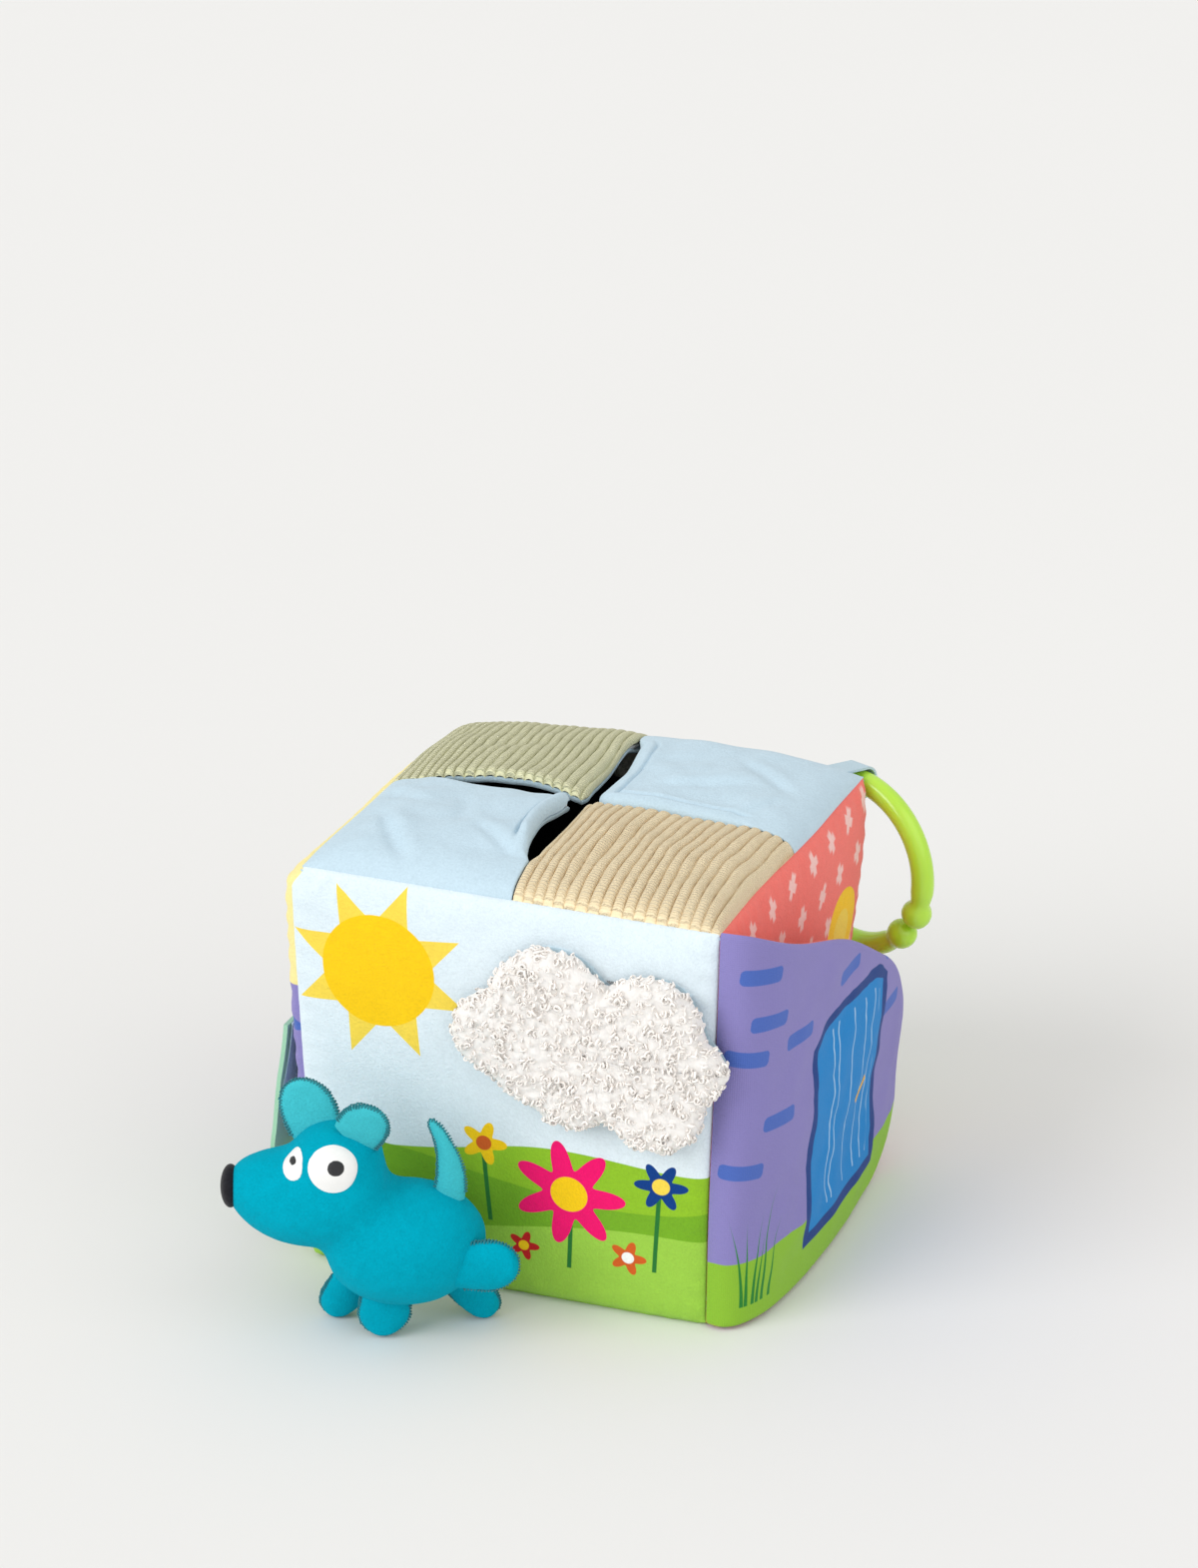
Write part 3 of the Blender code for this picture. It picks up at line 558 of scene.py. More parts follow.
top_crown = 0.008
top_roundness = 6
quadrant_crown = 0.0016
slit_reach = 0.056
flap_thick = 0.0060
quadrants = {
    "front_left": {"sign": (-1, -1), "slot": "sky_velour", "corner": 0.012, "gap": (0.0010, 0.0012),
                   "bay": (0.0006, 0.0042), "lift": (0.0, 0.0034), "roll": 0.0026, "hem": 0.0,
                   "creases": ((-0.048, -0.056, -57, 0.026, 0.0028, 0.0017),
                               (-0.016, -0.048, -43, 0.016, 0.0024, 0.0012),
                               (-0.060, -0.022, -30, 0.018, 0.0034, 0.0010),
                               (-0.034, -0.028, -75, 0.014, 0.0030, 0.0008))},
    "front_right": {"sign": (1, -1), "slot": "beige_corduroy", "corner": 0.0075, "gap": (0.0004, 0.0004),
                    "bay": (0.0004, 0.0010), "lift": (0.0, 0.0), "roll": 0.0, "hem": 0.0,
                    "creases": ((0.022, -0.043, 76, 0.034, 0.0032, 0.0014),
                                (0.052, -0.050, 60, 0.020, 0.0034, 0.0007))},
    "back_right": {"sign": (1, 1), "slot": "sky_velour", "corner": 0.006, "gap": (0.0004, 0.0016),
                   "bay": (0.0004, 0.0014), "lift": (0.0, 0.0), "roll": 0.0, "hem": 0.0062,
                   "creases": ((0.034, 0.024, 25, 0.020, 0.0026, 0.0008),
                               (0.050, 0.040, -38, 0.020, 0.0030, 0.0010),
                               (0.056, 0.013, 62, 0.016, 0.0026, 0.0009))},
    "back_left": {"sign": (-1, 1), "slot": "sage_corduroy", "corner": 0.0055, "gap": (0.0010, 0.0010),
                  "bay": (0.0034, 0.0010), "lift": (0.0036, 0.0004), "roll": 0.0, "hem": 0.0,
                  "creases": ((-0.040, 0.034, 20, 0.020, 0.0040, 0.0007),)},
}
rib_pitches = {"beige_corduroy": 0.0039, "sage_corduroy": 0.0035, "sky_velour": 0.0039}
rib_height = 0.0016


def top_height(x, y):
    a, b = np.clip(np.abs(x) / edge_half, 0, 1), np.clip(np.abs(y) / edge_half, 0, 1)
    full = fullness(a, top_roundness) * fullness(b, top_roundness)
    pillow = (1 - (2 * a - 1) ** 4) * (1 - (2 * b - 1) ** 4)
    return block_side + (seam_inset + top_crown) * full - seam_inset + quadrant_crown * pillow


def edge_step(count):
    """Places from the slit out to the seam, close together over the turned edge of the cloth."""
    fine = 0.0022
    turned = fine * (1 - np.cos(np.linspace(0, math.pi / 2, 8)))
    rest = np.linspace(fine, edge_half, count - 7)[1:]
    return np.concatenate([turned, rest])


def quadrant_grid(make, under, columns, rows, ribbed=False, shrink=0.0):
    """A quadrant's upper or under face, with its turned edges, bays, lifts and folds, and its ribs' run."""
    sx, sy = make["sign"]
    u, v = np.meshgrid(edge_step(columns), edge_step(rows))
    radius = make["corner"]
    near = (u < radius) & (v < radius)
    qx, qy = u - radius, v - radius
    square, ring = np.maximum(np.abs(qx), np.abs(qy)), np.hypot(qx, qy)
    pull = np.where(near & (ring > 0), square / np.maximum(ring, 1e-9), 1)
    du, dv = np.where(near, radius + qx * pull, u), np.where(near, radius + qy * pull, v)
    to_edge = np.where(near, radius - ring * pull, np.minimum(u, v))
    free_u = np.clip((slit_reach + 0.002 - v) / 0.006, 0, 1)
    free_v = np.clip((slit_reach + 0.002 - u) / 0.006, 0, 1)
    arc_u = np.sin(math.pi * np.clip(v / slit_reach, 0, 1)) ** 0.8
    arc_v = np.sin(math.pi * np.clip(u / slit_reach, 0, 1)) ** 0.8
    fade_u, fade_v = (1 - du / edge_half) ** 2, (1 - dv / edge_half) ** 2
    x = du + (make["gap"][1] * free_u + make["bay"][1] * arc_u) * fade_u + 0.0002
    y = dv + (make["gap"][0] * free_v + make["bay"][0] * arc_v) * fade_v + 0.0002
    free = np.where(u < v, free_u, free_v)
    turned = 0.0007 + 0.0021 * free
    drop = turned * (1 - np.sqrt(np.clip(1 - (1 - np.clip(to_edge / turned, 0, 1)) ** 2, 0, 1)))
    height = top_height(x, y)
    height += make["lift"][1] * arc_u * np.exp(-du / 0.020) + make["lift"][0] * arc_v * np.exp(-dv / 0.020)
    seam = np.minimum(edge_half - du, edge_half - dv)
    inside = np.clip(seam / 0.012, 0, 1)
    place = np.stack([x * sx, y * sy, height], -1)
    height += 0.0013 * rumple(place, 0.021, 7.0) * inside + 0.0006 * rumple(place, 0.009, 2.0) * inside
    for cx, cy, turn, half, wide, deep in make["creases"]:
        cosine, sine = math.cos(math.radians(turn)), math.sin(math.radians(turn))
        along = (place[..., 0] - cx) * cosine + (place[..., 1] - cy) * sine
        aside = ((place[..., 1] - cy) * cosine - (place[..., 0] - cx) * sine) / wide
        dent = 0.55 * np.exp(-((aside - 1.7) / 1.3) ** 2) - np.exp(-(aside**2))
        height += deep * dent * eased((half - np.abs(along)) / (0.6 * half)) * inside
    thick = flap_thick * np.clip(seam / 0.010, 0.35, 1)
    if make["roll"]:
        bead = make["roll"]
        swell = np.sqrt(np.clip(1 - ((du - bead) / bead) ** 2, 0, 1)) * (du < 2 * bead)
        groove = np.exp(-((du - 2.15 * bead) / 0.0007) ** 2)
        fade = np.clip((0.050 - v) / 0.008, 0, 1)
        height += (0.0026 * swell - 0.0016 * groove) * fade * (0 if under else 1)
    if make["hem"] and not under:
        to_hem = to_edge - make["hem"]
        stitched = np.exp(-(to_hem / 0.0008) ** 2) - 0.5 * np.exp(-(to_hem / 0.003) ** 2)
        height -= 0.0015 * stitched * free
    wander = 0.0011 * rumple(place, 0.020, 11.0) + 0.0016 * np.exp(-(((place[..., 0] - 0.018) / 0.012) ** 2))
    run = (place[..., 0] + wander * (sx > 0) + 0.4 * wander * (sx < 0)) / rib_pitches[make["slot"]]
    if under:
        height = height - thick + drop + shrink
    else:
        height = height - drop - shrink
        if ribbed:
            ridge = np.clip(1 - np.abs(2 * (run - np.floor(run)) - 1) ** 2.4, 0, 1) ** 0.62
            height += rib_height * (ridge - 0.75) * np.clip(seam / 0.0022, 0.25, 1)
    points = settle(np.stack([x * sx, y * sy, height], -1))
    return points, np.stack([run, place[..., 1]], -1)


def corduroy(name, colour, groove):
    """Chunky corduroy: thick brushed ribs of pile, with painted shade in the grooves between the ribs and
    between the loops.
    """
    material, shader, (place, run) = new_material(name, **velour_sockets)
    across, down, _ = run.split()
    tufts = place.noise(0.0010, 3, 0.7)
    shade = place.noise(0.007, 2)
    ridge = 1 - (abs(across.part() * 2 - 1) ** 5)
    loops = (down * (2 * math.pi / 0.0013) + across.whole() * 2.1 + tufts * 4).sine() * 0.5 + 0.5
    # Painted shade: the grooves between the ribs and the gaps between the loops take the darker groove colour.
    painted_groove_shade = (ridge * 0.75 + (shade - 0.5) * 0.4 + (tufts - 0.5) * 0.8 + loops * 0.25 + 0.14).most(0).least(1)
    feed(shader, "Base Color", painted_groove_shade.dye(groove, colour))
    feed(shader, "Roughness", 0.86 + tufts * 0.1)
    feed(shader, "Normal", raised(tufts * 0.8 + loops * 0.7, 0.0010, 1.0))
    return material


def wadding_material():
    material, shader, (place, _) = new_material("wadding", 0.97)
    tufts = place.noise(0.0025, 3)
    feed(shader, "Base Color", tufts.dye(srgb(236, 236, 233), srgb(252, 252, 250)))
    feed(shader, "Normal", raised(tufts, 0.0008))
    return material


wadding = wadding_material()
backing_velour = velour("backing_velour", lambda place: plain(place, srgb(194, 219, 231)))
top_makes = {
    "sky_velour": (velour("top_sky_velour", lambda place: plain(place, srgb(198, 221, 234))), False),
    # The second colour of each corduroy is painted shade for its grooves.
    "beige_corduroy": (corduroy("beige_corduroy", srgb(255, 236, 197), srgb(233, 200, 148)), True),
    "sage_corduroy": (corduroy("sage_corduroy", srgb(230, 229, 190), srgb(188, 188, 138)), True),
}


def fold_over(piece):
    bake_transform(piece)


for place, make in quadrants.items():
    material, ribbed = top_makes[make["slot"]]
    face, run = quadrant_grid(make, False, 190 if ribbed else 104, 104, ribbed)
    cover = cloth_sheet(f"{place}_quadrant_cover", face, 0.0008, material, (0, 0, 1), run)
    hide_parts(f"{place}_top_cover", f"{place}_flap_cover")
    fold_over(cover)
    under, _ = quadrant_grid(make, True, 72, 72)
    backing = cloth_sheet(f"{place}_quadrant_backing", under, 0.0007, backing_velour, (0, 0, -1))
    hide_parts(f"{place}_top_backing", f"{place}_flap_backing")
    fold_over(backing)
    filling, _ = quadrant_grid(make, False, 34, 34, shrink=0.0030)
    fill = cloth_sheet(f"{place}_quadrant_wadding", filling[4:-1, 4:-1], 0.0012, wadding, (0, 0, 1))
    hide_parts(f"{place}_top_wadding", f"{place}_flap_wadding")
    fold_over(fill)


# Page: a padded cloth page, sewn into the front-right seam and turning like a book's.
# Purple printed cloth outside and coral velour inside, bagged out over thin wadding, so the edges roll
# round; a bit of curly fleece is sewn inside near the free edge.

page_root = np.array([0.0744, -0.0750])
page_reaches = ((1.290, -1.12), (1.360, -0.40), (1.335, 0.945))
page_controls = np.array([page_root] + [[x * half_side, y * half_side] for x, y in page_reaches])
page_thick = 0.0046
page_turn_in = 0.0022


def page_plan(share):
    """Place of the page's outside and its inward direction, seen from above."""
    a, b, c, d = page_controls
    s = np.asarray(share)[..., None]
    place = a * (1 - s) ** 3 + b * 3 * (1 - s) ** 2 * s + c * 3 * (1 - s) * s**2 + d * s**3
    way = (b - a) * (1 - s) ** 2 + (c - b) * 2 * (1 - s) * s + (d - c) * s**2
    way /= np.linalg.norm(way, axis=-1, keepdims=True)
    return place, np.stack([-way[..., 1], way[..., 0]], -1)


def page_grid(depth, rows, columns, printed=True):
    """Points of one of the page's cloths, and where each lies on the flat page, in metres."""
    shares = np.sin(np.linspace(0, math.pi / 2, columns))
    fine = np.linspace(0, 1, 400)
    steps = np.linalg.norm(np.diff(page_plan(fine)[0], axis=0), axis=1)
    lengths = np.interp(shares, fine, np.concatenate([[0], np.cumsum(steps)]))
    place, inward = page_plan(shares)
    width = np.interp(1.0, fine, np.concatenate([[0], np.cumsum(steps)]))
    y = place[:, 1]
    past_top = np.clip((lengths - (width - 0.036)) / 0.036, 0, 1)
    past_low = np.clip((lengths - (width - 0.034)) / 0.034, 0, 1)
    wave = 0.0007 * np.sin(lengths * 62 + 2.2) * np.clip(lengths / 0.012, 0, 1)
    high = 0.1484 - 0.47 * (y + 0.072) + wave - 0.032 * (1 - np.sqrt(1 - past_top**2.0))
    high += 0.0045 * np.exp(-((lengths - 0.078) / 0.034) ** 2)
    low = 0.0012 + 0.032 * (1 - np.sqrt(1 - past_low**2.2))
    levels = (gathered(rows, 0.9) + 1) / 2
    z = low + (high - low) * levels[:, None]
    to_edge = np.minimum(np.minimum(z - low, high - z), (width - lengths)[None] + 0 * z)
    turn = np.clip(1 - to_edge / page_turn_in, 0, 1)
    rolled = page_turn_in * (1 - np.sqrt(1 - turn**2))
    thin = np.clip(lengths / 0.020, 0.30, 1)[None]
    sink = depth * thin + (rolled if printed else -rolled) * thin
    spot = np.stack([np.tile(place[:, 0], (rows, 1)), np.tile(y, (rows, 1)), z], -1)
    free = np.clip(lengths / 0.03, 0, 1)[None] * np.clip(to_edge / 0.010, 0.25, 1)
    swell = 0.0018 * rumple(spot, 0.030, 21.0) * free + 0.0008 * rumple(spot, 0.012, 5.0) * free
    spot[..., :2] += inward[None] * (sink + swell)[..., None]
    return settle(spot), np.stack([np.tile(lengths, (rows, 1)), z], -1)


cloth_purple = srgb(139, 131, 192)
dash_blue = srgb(78, 108, 190)
door_blue = srgb(0, 132, 205)
door_navy = srgb(0, 57, 132)
grass_green = srgb(140, 190, 52)
blade_green = srgb(40, 130, 50)
bricks = ((0.0165, 0.134, -0.12), (0.021, 0.116, -0.10), (0.012, 0.104, -0.16), (0.041, 0.103, -0.02),
          (0.028, 0.077, -0.08), (0.012, 0.061, -0.14), (0.082, 0.111, 0.05), (0.130, 0.100, 0.0),
          (0.131, 0.076, 0.0))
blades = ((0.0130, 0.027, -0.0034), (0.0148, 0.026, 0.0002), (0.0178, 0.027, 0.0040), (0.0198, 0.021, 0.0032),
          (0.0225, 0.034, 0.0062), (0.0265, 0.023, 0.0050))
door_planks = (-0.0160, -0.0115, 0.0020, 0.0140, 0.0215, 0.0280)


def page_print(place, flat):
    """Bricks, a crooked plank door and a tuft of grass, printed across the page."""
    u, z, _ = flat.split()
    wobble = (flat.noise(0.018) - 0.5) * 0.0050
    colour = plain(place, cloth_purple)
    for across, up, lean in bricks:
        p, q = u - across, z - up
        p, q = abs(p + q * lean), abs(q - p * lean)
        edge = ((p - 0.0072).most(0) ** 2 + (q - 0.0010).most(0) ** 2) ** 0.5
        colour = edge.within(0.0019).dye(colour, dash_blue)
    colour = (z - wobble * 0.4).within(0.0245 + (u * 30 + 0.6).sine() * 0.002).dye(colour, grass_green)
    middle, foot, top, half_width = 0.0884, 0.014, 0.1015, 0.0363
    sway = u - middle + wobble
    arch = z + wobble * 0.8 + (abs(sway) / 0.030) ** 3 * 0.0055
    edge = (abs(sway) - half_width).most(arch - top).most(foot - z)
    colour = edge.within(0).dye(colour, door_navy)
    colour = edge.within(-0.0046).dye(colour, door_blue)
    for across in door_planks:
        line = abs(sway - across + wobble * 0.7).within(0.00040) * edge.within(-0.0085)
        colour = line.dye(colour, srgb(168, 205, 236))
    du, dz = u - middle - 0.0165, z - 0.053
    p, q = abs(du * 0.75 + dz * 0.66), abs(dz * 0.75 - du * 0.66)
    colour = (p / 0.0052).most(q / 0.0015).within(1, 0.1).dye(colour, srgb(236, 180, 10))
    for across, tall, lean in blades:
        up = ((z - 0.0085) / tall).most(0)
        blade = abs(u - across - up * up * lean)
        colour = (blade.within(0.0008 - up * 0.0007) * (1 - z.within(0.0085))).dye(colour, blade_green)
    return colour


def printed_cotton():
    """Plain woven cotton under a print: fine crossing threads and a matt face."""
    material, shader, (place, flat) = new_material("printed_cotton", Specular_IOR_Level=0.2, Sheen_Weight=0.1)
    u, z, _ = flat.split()
    weave = (u * 2 * math.pi / 0.00075).sine() * 0.5 + (z * 2 * math.pi / 0.00075).sine() * 0.5
    fuzz = place.noise(0.0008, 2)
    shade = place.noise(0.014) * 0.5 + fuzz * 0.5
    colour = page_print(place, flat)
    darker = colour.node("ShaderNodeMix", {"data_type": "RGBA", "blend_type": "MULTIPLY"},
                         {0: 1.0, 6: colour, 7: (0.90, 0.90, 0.90, 1)}, 2)
    feed(shader, "Base Color", shade.dye(darker, colour))
    feed(shader, "Roughness", 0.80 + fuzz * 0.14)
    feed(shader, "Normal", raised(weave * 0.4 + fuzz, 0.0002, 0.6))
    return material


def inner_print(place):
    _, y, z = place.split()
    return scattered_marks(plain(place, coral), y, z)


def turned_page(piece):
    """Work the piece's placement into its mesh; the cloths are not turned on their fold."""
    at, _ = page_plan(np.array([0.06, 0.34]))
    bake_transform(piece)


page_out = (1, -0.4, 0)
page_in = (-1, 0.4, 0)
points, flat = page_grid(0, 84, 96)
page_cover = cloth_sheet("page_cover", points, 0.0007, printed_cotton(), page_out, flat)
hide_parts("page_printed_cloth")
turned_page(page_cover)

points, flat = page_grid(page_thick, 60, 72, False)
inner_velour = velour("coral_lining_velour", inner_print)
page_lining = cloth_sheet("page_lining", points, 0.0007, inner_velour, page_in, flat)
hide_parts("page_back_cloth")
turned_page(page_lining)

points, flat = page_grid(0.0012, 40, 48)
page_filling = cloth_sheet("page_filling", points[2:-2, 3:-2], 0.0018, wadding, page_out)
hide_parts("page_wadding")
turned_page(page_filling)

points, flat = page_grid(0.0012, 60, 60)
seam_velour = velour("seam_strip", lambda place: plain(place, cloth_purple))
binding = cloth_sheet("page_seam_strip", points[2:-2, :9], 0.0005, seam_velour, page_out)
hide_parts("page_seam_binding")
turned_page(binding)


def curly_fleece():
    """Looped pile: pale curls, with painted shade, darker and warmer, in the hollows between them."""
    material, shader, (place, _) = new_material("curly_fleece", 0.96, Sheen_Weight=0.3, Specular_IOR_Level=0.05,
                                                Subsurface_Weight=0.6, Subsurface_Scale=0.004,
                                                Subsurface_Radius=(1.0, 0.95, 0.9))
    curls = place.node("ShaderNodeTexVoronoi", {"feature": "SMOOTH_F1"},
                       {"Vector": place, "Scale": 1 / 0.0026, "Smoothness": 0.6})
    threads = place.noise(0.0007, 3, 0.7)
    # Painted shade: the hollows between the curls take the darker, warmer colour.
    shade = (threads * 0.8 + 0.45 - curls * 0.4).most(0).least(1)
    feed(shader, "Base Color", shade.dye(srgb(250, 240, 232), srgb(254, 247, 242)))
    feed(shader, "Normal", raised(threads * 0.5 - curls, 0.0006, 0.7))
    return material


white_fleece = curly_fleece()


def tufted(points, outward, height, grain, seed):
    """Move points out into clumps, as the fleece stands up in curls."""
    out = np.array(outward, float)
    flat = points.reshape(-1, 3)
    clump = np.array([noise.voronoi(Vector(p) / grain + Vector((seed, 0, 0)))[0][0] for p in flat])
    clump = (0.9 - np.clip(clump, 0, 1)).reshape(points.shape[:-1])
    return points + out * (clump * height)[..., None]


def fleece_patch_grid(depth, tall_cut):
    shares = np.linspace(0.86, 1.022, 26)
    place, inward = page_plan(np.clip(shares, 0, 1))
    over = np.clip(shares - 1, 0, 1)[:, None] * 0.11
    way = np.stack([inward[:, 1], -inward[:, 0]], -1)
    spot = place + inward * depth + way * over
    round_off = 0.5 + 0.5 * fullness(np.linspace(-1, 1, 26), 4)
    tall = 0.016 * round_off - tall_cut
    z = 0.036 + np.linspace(-1, 1, 30)[:, None] * tall
    points = np.stack([np.tile(spot[:, 0], (30, 1)), np.tile(spot[:, 1], (30, 1)), z], -1)
    return settle(points)


patch_face = fleece_patch_grid(page_thick + 0.0040, 0.0)
inward_now = page_plan(np.array([0.95]))[1][0]
patch_face = tufted(patch_face, (inward_now[0], inward_now[1], 0), 0.0022, 0.0026, 4.0)
patch = cloth_sheet("page_fleece_strip", patch_face, 0.0036, white_fleece, page_in)
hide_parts("page_fleece_patch")
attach(patch, "page")


# Window flap: a small cotton flap on the left side, mint outside and lined with light-blue velour.
# Its two cloths are bagged out and sewn to the wall along the top only, so they bow out a little below.

window_wide, window_drop, window_stand, window_bow = 0.052, 0.057, 0.0095, 0.0016


def window_grid(depth, rows, columns, inset=0.0):
    falls = np.sin(np.linspace(0, math.pi / 2, rows))
    drop = (window_drop - inset) * falls
    stand = window_stand * falls**2 + window_bow * np.sin(math.pi * falls)
    past = np.clip(drop - (window_drop - 0.013), 0, 0.013)
    reach = window_wide / 2 - (0.013 - np.sqrt(0.013**2 - past**2))
    a = gathered(columns, 0.8)
    out = half_side + wall_crown + 0.0022 - depth + stand
    x = np.tile(-out[:, None], (1, columns))
    y = -0.040 + (reach[:, None] - inset) * a
    z = np.tile((0.084 - drop)[:, None], (1, columns))
    spot = np.stack([x, y, z], -1)
    spot[..., 0] -= 0.0007 * rumple(spot, 0.016, 31.0) * falls[:, None]
    return settle(spot)


def plain_cotton(name, colour):
    material, shader, (place, _) = new_material(name, Specular_IOR_Level=0.2, Sheen_Weight=0.1)
    fuzz = place.noise(0.0008, 2)
    darker = tuple(part * 0.88 for part in colour[:3]) + (1.0,)
    feed(shader, "Base Color", (place.noise(0.012) * 0.5 + fuzz * 0.5).dye(darker, colour))
    feed(shader, "Roughness", 0.80 + fuzz * 0.14)
    feed(shader, "Normal", raised(fuzz, 0.0002, 0.6))
    return material


mint = plain_cotton("mint_cotton", srgb(172, 222, 188))
flap_front = cloth_sheet("window_flap_face", window_grid(0, 30, 30), 0.0016, mint, (-1, 0, 0))
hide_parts("window_flap_cloth")
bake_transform(flap_front)
behind_face = window_grid(0.0018, 30, 30, 0.0022)
flap_back = cloth_sheet("window_flap_lining", behind_face, 0.0006, backing_velour, (1, 0, 0))
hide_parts("window_flap_backing")
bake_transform(flap_back)


# Cloud: a curly fleece cut-out with a smooth backing, tacked to the front under its top humps.
# On the toy the humps stay on the wall and the rest lifts; here both cloths are left as made, not bent at the
# tack stitches.

cloud_wide = 0.0940
cloud_heart = (0.034, 0.104)
cloud_lobes = ((-0.149, 0.149, 0.234), (0.234, 0.128, 0.202), (0.410, -0.011, 0.117),
               (0.255, -0.181, 0.181), (-0.064, -0.128, 0.191), (-0.383, 0.021, 0.149),
               (-0.235, -0.110, 0.130))
cloud_back = half_side + wall_crown + 0.0006


def cloud_reach(turn):
    """Distance from the cloud's heart to its rim, the farthest lobe's that way, softened where they meet."""
    reaches = []
    for x, z, radius in cloud_lobes:
        along = (x * np.cos(turn) + z * np.sin(turn)) * cloud_wide
        inside = (radius * cloud_wide) ** 2 - ((x * x + z * z) * cloud_wide**2 - along**2)
        reaches.append(np.where(inside > 0, along + np.sqrt(np.clip(inside, 0, 1)), 0))
    return np.max(reaches, 0)


def cloud_rim(turns):
    """The cloud's rim all the way round, its notches filled by the pile."""
    turn = np.linspace(0, 2 * math.pi, turns + 1)
    spread = np.radians(np.linspace(-9, 9, 13))
    soft = np.mean([cloud_reach(turn + step) for step in spread], 0)
    return turn, soft * 0.6 + cloud_reach(turn) * 0.4 + 0.0004


def cloud_grid(out, dome, rim, turns, rings):
    """A domed face of the cloud, from its rim in to its heart."""
    turn, reach = cloud_rim(turns)
    reach = reach - rim
    share = np.concatenate([np.linspace(1, 0.86, 7), np.linspace(0.84, 0.02, rings - 7)])
    x = cloud_heart[0] + reach[None] * share[:, None] * np.cos(turn)
    z = cloud_heart[1] + reach[None] * share[:, None] * np.sin(turn)
    to_rim = (reach[None] * (1 - share[:, None]))
    rise = dome * np.sqrt(np.clip(1 - (1 - np.clip(to_rim / 0.0055, 0, 1)) ** 2, 0, 1))
    return np.stack([x, -(out + rise), z], -1)


def bend_at_tack(piece):
    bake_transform(piece)


def welded(obj, reach=0.00002):
    """The same piece with the points that lie on each other made one, and its faces turned outward."""
    bm = bmesh.new()
    bm.from_mesh(obj.data)
    bmesh.ops.remove_doubles(bm, verts=bm.verts, dist=reach)
    bmesh.ops.recalc_face_normals(bm, faces=bm.faces)
    bm.to_mesh(obj.data)
    bm.free()
    return obj


fleece_front = cloud_grid(cloud_back + 0.0020, 0.0060, 0.0008, 300, 62)
fleece_front = tufted(fleece_front, (0, -1, 0), 0.0016, 0.0032, 9.0)
fleece_front = tufted(fleece_front, (0, -1, 0), 0.0007, 0.0016, 2.0)
puffs = [rumple(fleece_front, 0.0030, seed)[..., None] for seed in (14.0, 23.0)]
fleece_front = fleece_front + puffs[0] * np.array([0.0011, 0, 0]) + puffs[1] * np.array([0, 0, 0.0011])
cloud_fleece = cloth_sheet("cloud_fleece", fleece_front, 0.0016, white_fleece, (0, -1, 0), corner=80)
welded(cloud_fleece)


def curl_tree():
    """Loose curls of fleece yarn, strewn over a face and turned every way."""
    tree = bpy.data.node_groups.new("fleece_curls", "GeometryNodeTree")
    face = tree.interface
    face.new_socket("Geometry", in_out="INPUT", socket_type="NodeSocketGeometry")
    for name, kind, value in (("Density", "NodeSocketFloat", 1.0), ("Seed", "NodeSocketInt", 1),
                              ("Curl Radius", "NodeSocketFloat", 0.001), ("Yarn", "NodeSocketFloat", 0.0002),
                              ("Material", "NodeSocketMaterial", None)):
        socket = face.new_socket(name, in_out="INPUT", socket_type=kind)
        if value is not None:
            socket.default_value = value
    face.new_socket("Geometry", in_out="OUTPUT", socket_type="NodeSocketGeometry")

    def node(kind, **sockets):
        made = tree.nodes.new(kind)
        for key, value in sockets.items():
            socket = made.inputs[key.replace("_", " ")]
            if isinstance(value, bpy.types.NodeSocket):
                tree.links.new(value, socket)
            else:
                socket.default_value = value
        return made

    given = node("NodeGroupInput").outputs
    spread = node("GeometryNodeDistributePointsOnFaces", Mesh=given["Geometry"], Density=given["Density"],
                  Seed=given["Seed"])
    spiral = node("GeometryNodeCurveSpiral", Resolution=8, Rotations=1.25, Start_Radius=given["Curl Radius"])
    spiral.inputs["End Radius"].default_value = 0.0006
    spiral.inputs["Height"].default_value = 0.0011
    profile = node("GeometryNodeCurvePrimitiveCircle", Resolution=3, Radius=given["Yarn"])
    curl = node("GeometryNodeCurveToMesh", Curve=spiral.outputs[0], Profile_Curve=profile.outputs[0])
    turn = node("FunctionNodeRandomValue", Seed=given["Seed"])
    turn.data_type = "FLOAT_VECTOR"
    turn.inputs[1].default_value = (6.283, 6.283, 6.283)
    size = node("FunctionNodeRandomValue", Seed=given["Seed"])
    size.data_type = "FLOAT"
    size.inputs[2].default_value, size.inputs[3].default_value = 0.7, 1.25
    strewn = node("GeometryNodeInstanceOnPoints", Points=spread.outputs[0], Instance=curl.outputs[0],
                  Rotation=turn.outputs[0], Scale=size.outputs[1])
    real = node("GeometryNodeRealizeInstances", Geometry=strewn.outputs[0])
    dressed = node("GeometryNodeSetMaterial", Geometry=real.outputs[0], Material=given["Material"])
    tree.links.new(dressed.outputs[0], node("NodeGroupOutput").inputs[0])
    return tree


def grown(source, name, tree, **inputs):
    """What a tree grows on a piece, as a piece of its own."""
    carrier = bpy.data.objects.new(name + "_bed", source.data.copy())
    bpy.context.scene.collection.objects.link(carrier)
    grow = carrier.modifiers.new("grow", "NODES")
    grow.node_group = tree
    for item in tree.interface.items_tree:
        key = item.name.replace(" ", "_").lower()
        if item.in_out == "INPUT" and key in inputs:
            grow[item.identifier] = inputs[key]
    depsgraph = bpy.context.evaluated_depsgraph_get()
    mesh = bpy.data.meshes.new_from_object(carrier.evaluated_get(depsgraph), depsgraph=depsgraph)
    bpy.data.objects.remove(carrier)
    obj = bpy.data.objects.new(name, mesh)
    mesh.shade_smooth()
    bpy.context.scene.collection.objects.link(obj)
    return obj


def unit(ways):
    return ways / np.maximum(np.linalg.norm(ways, axis=-1, keepdims=True), 1e-9)


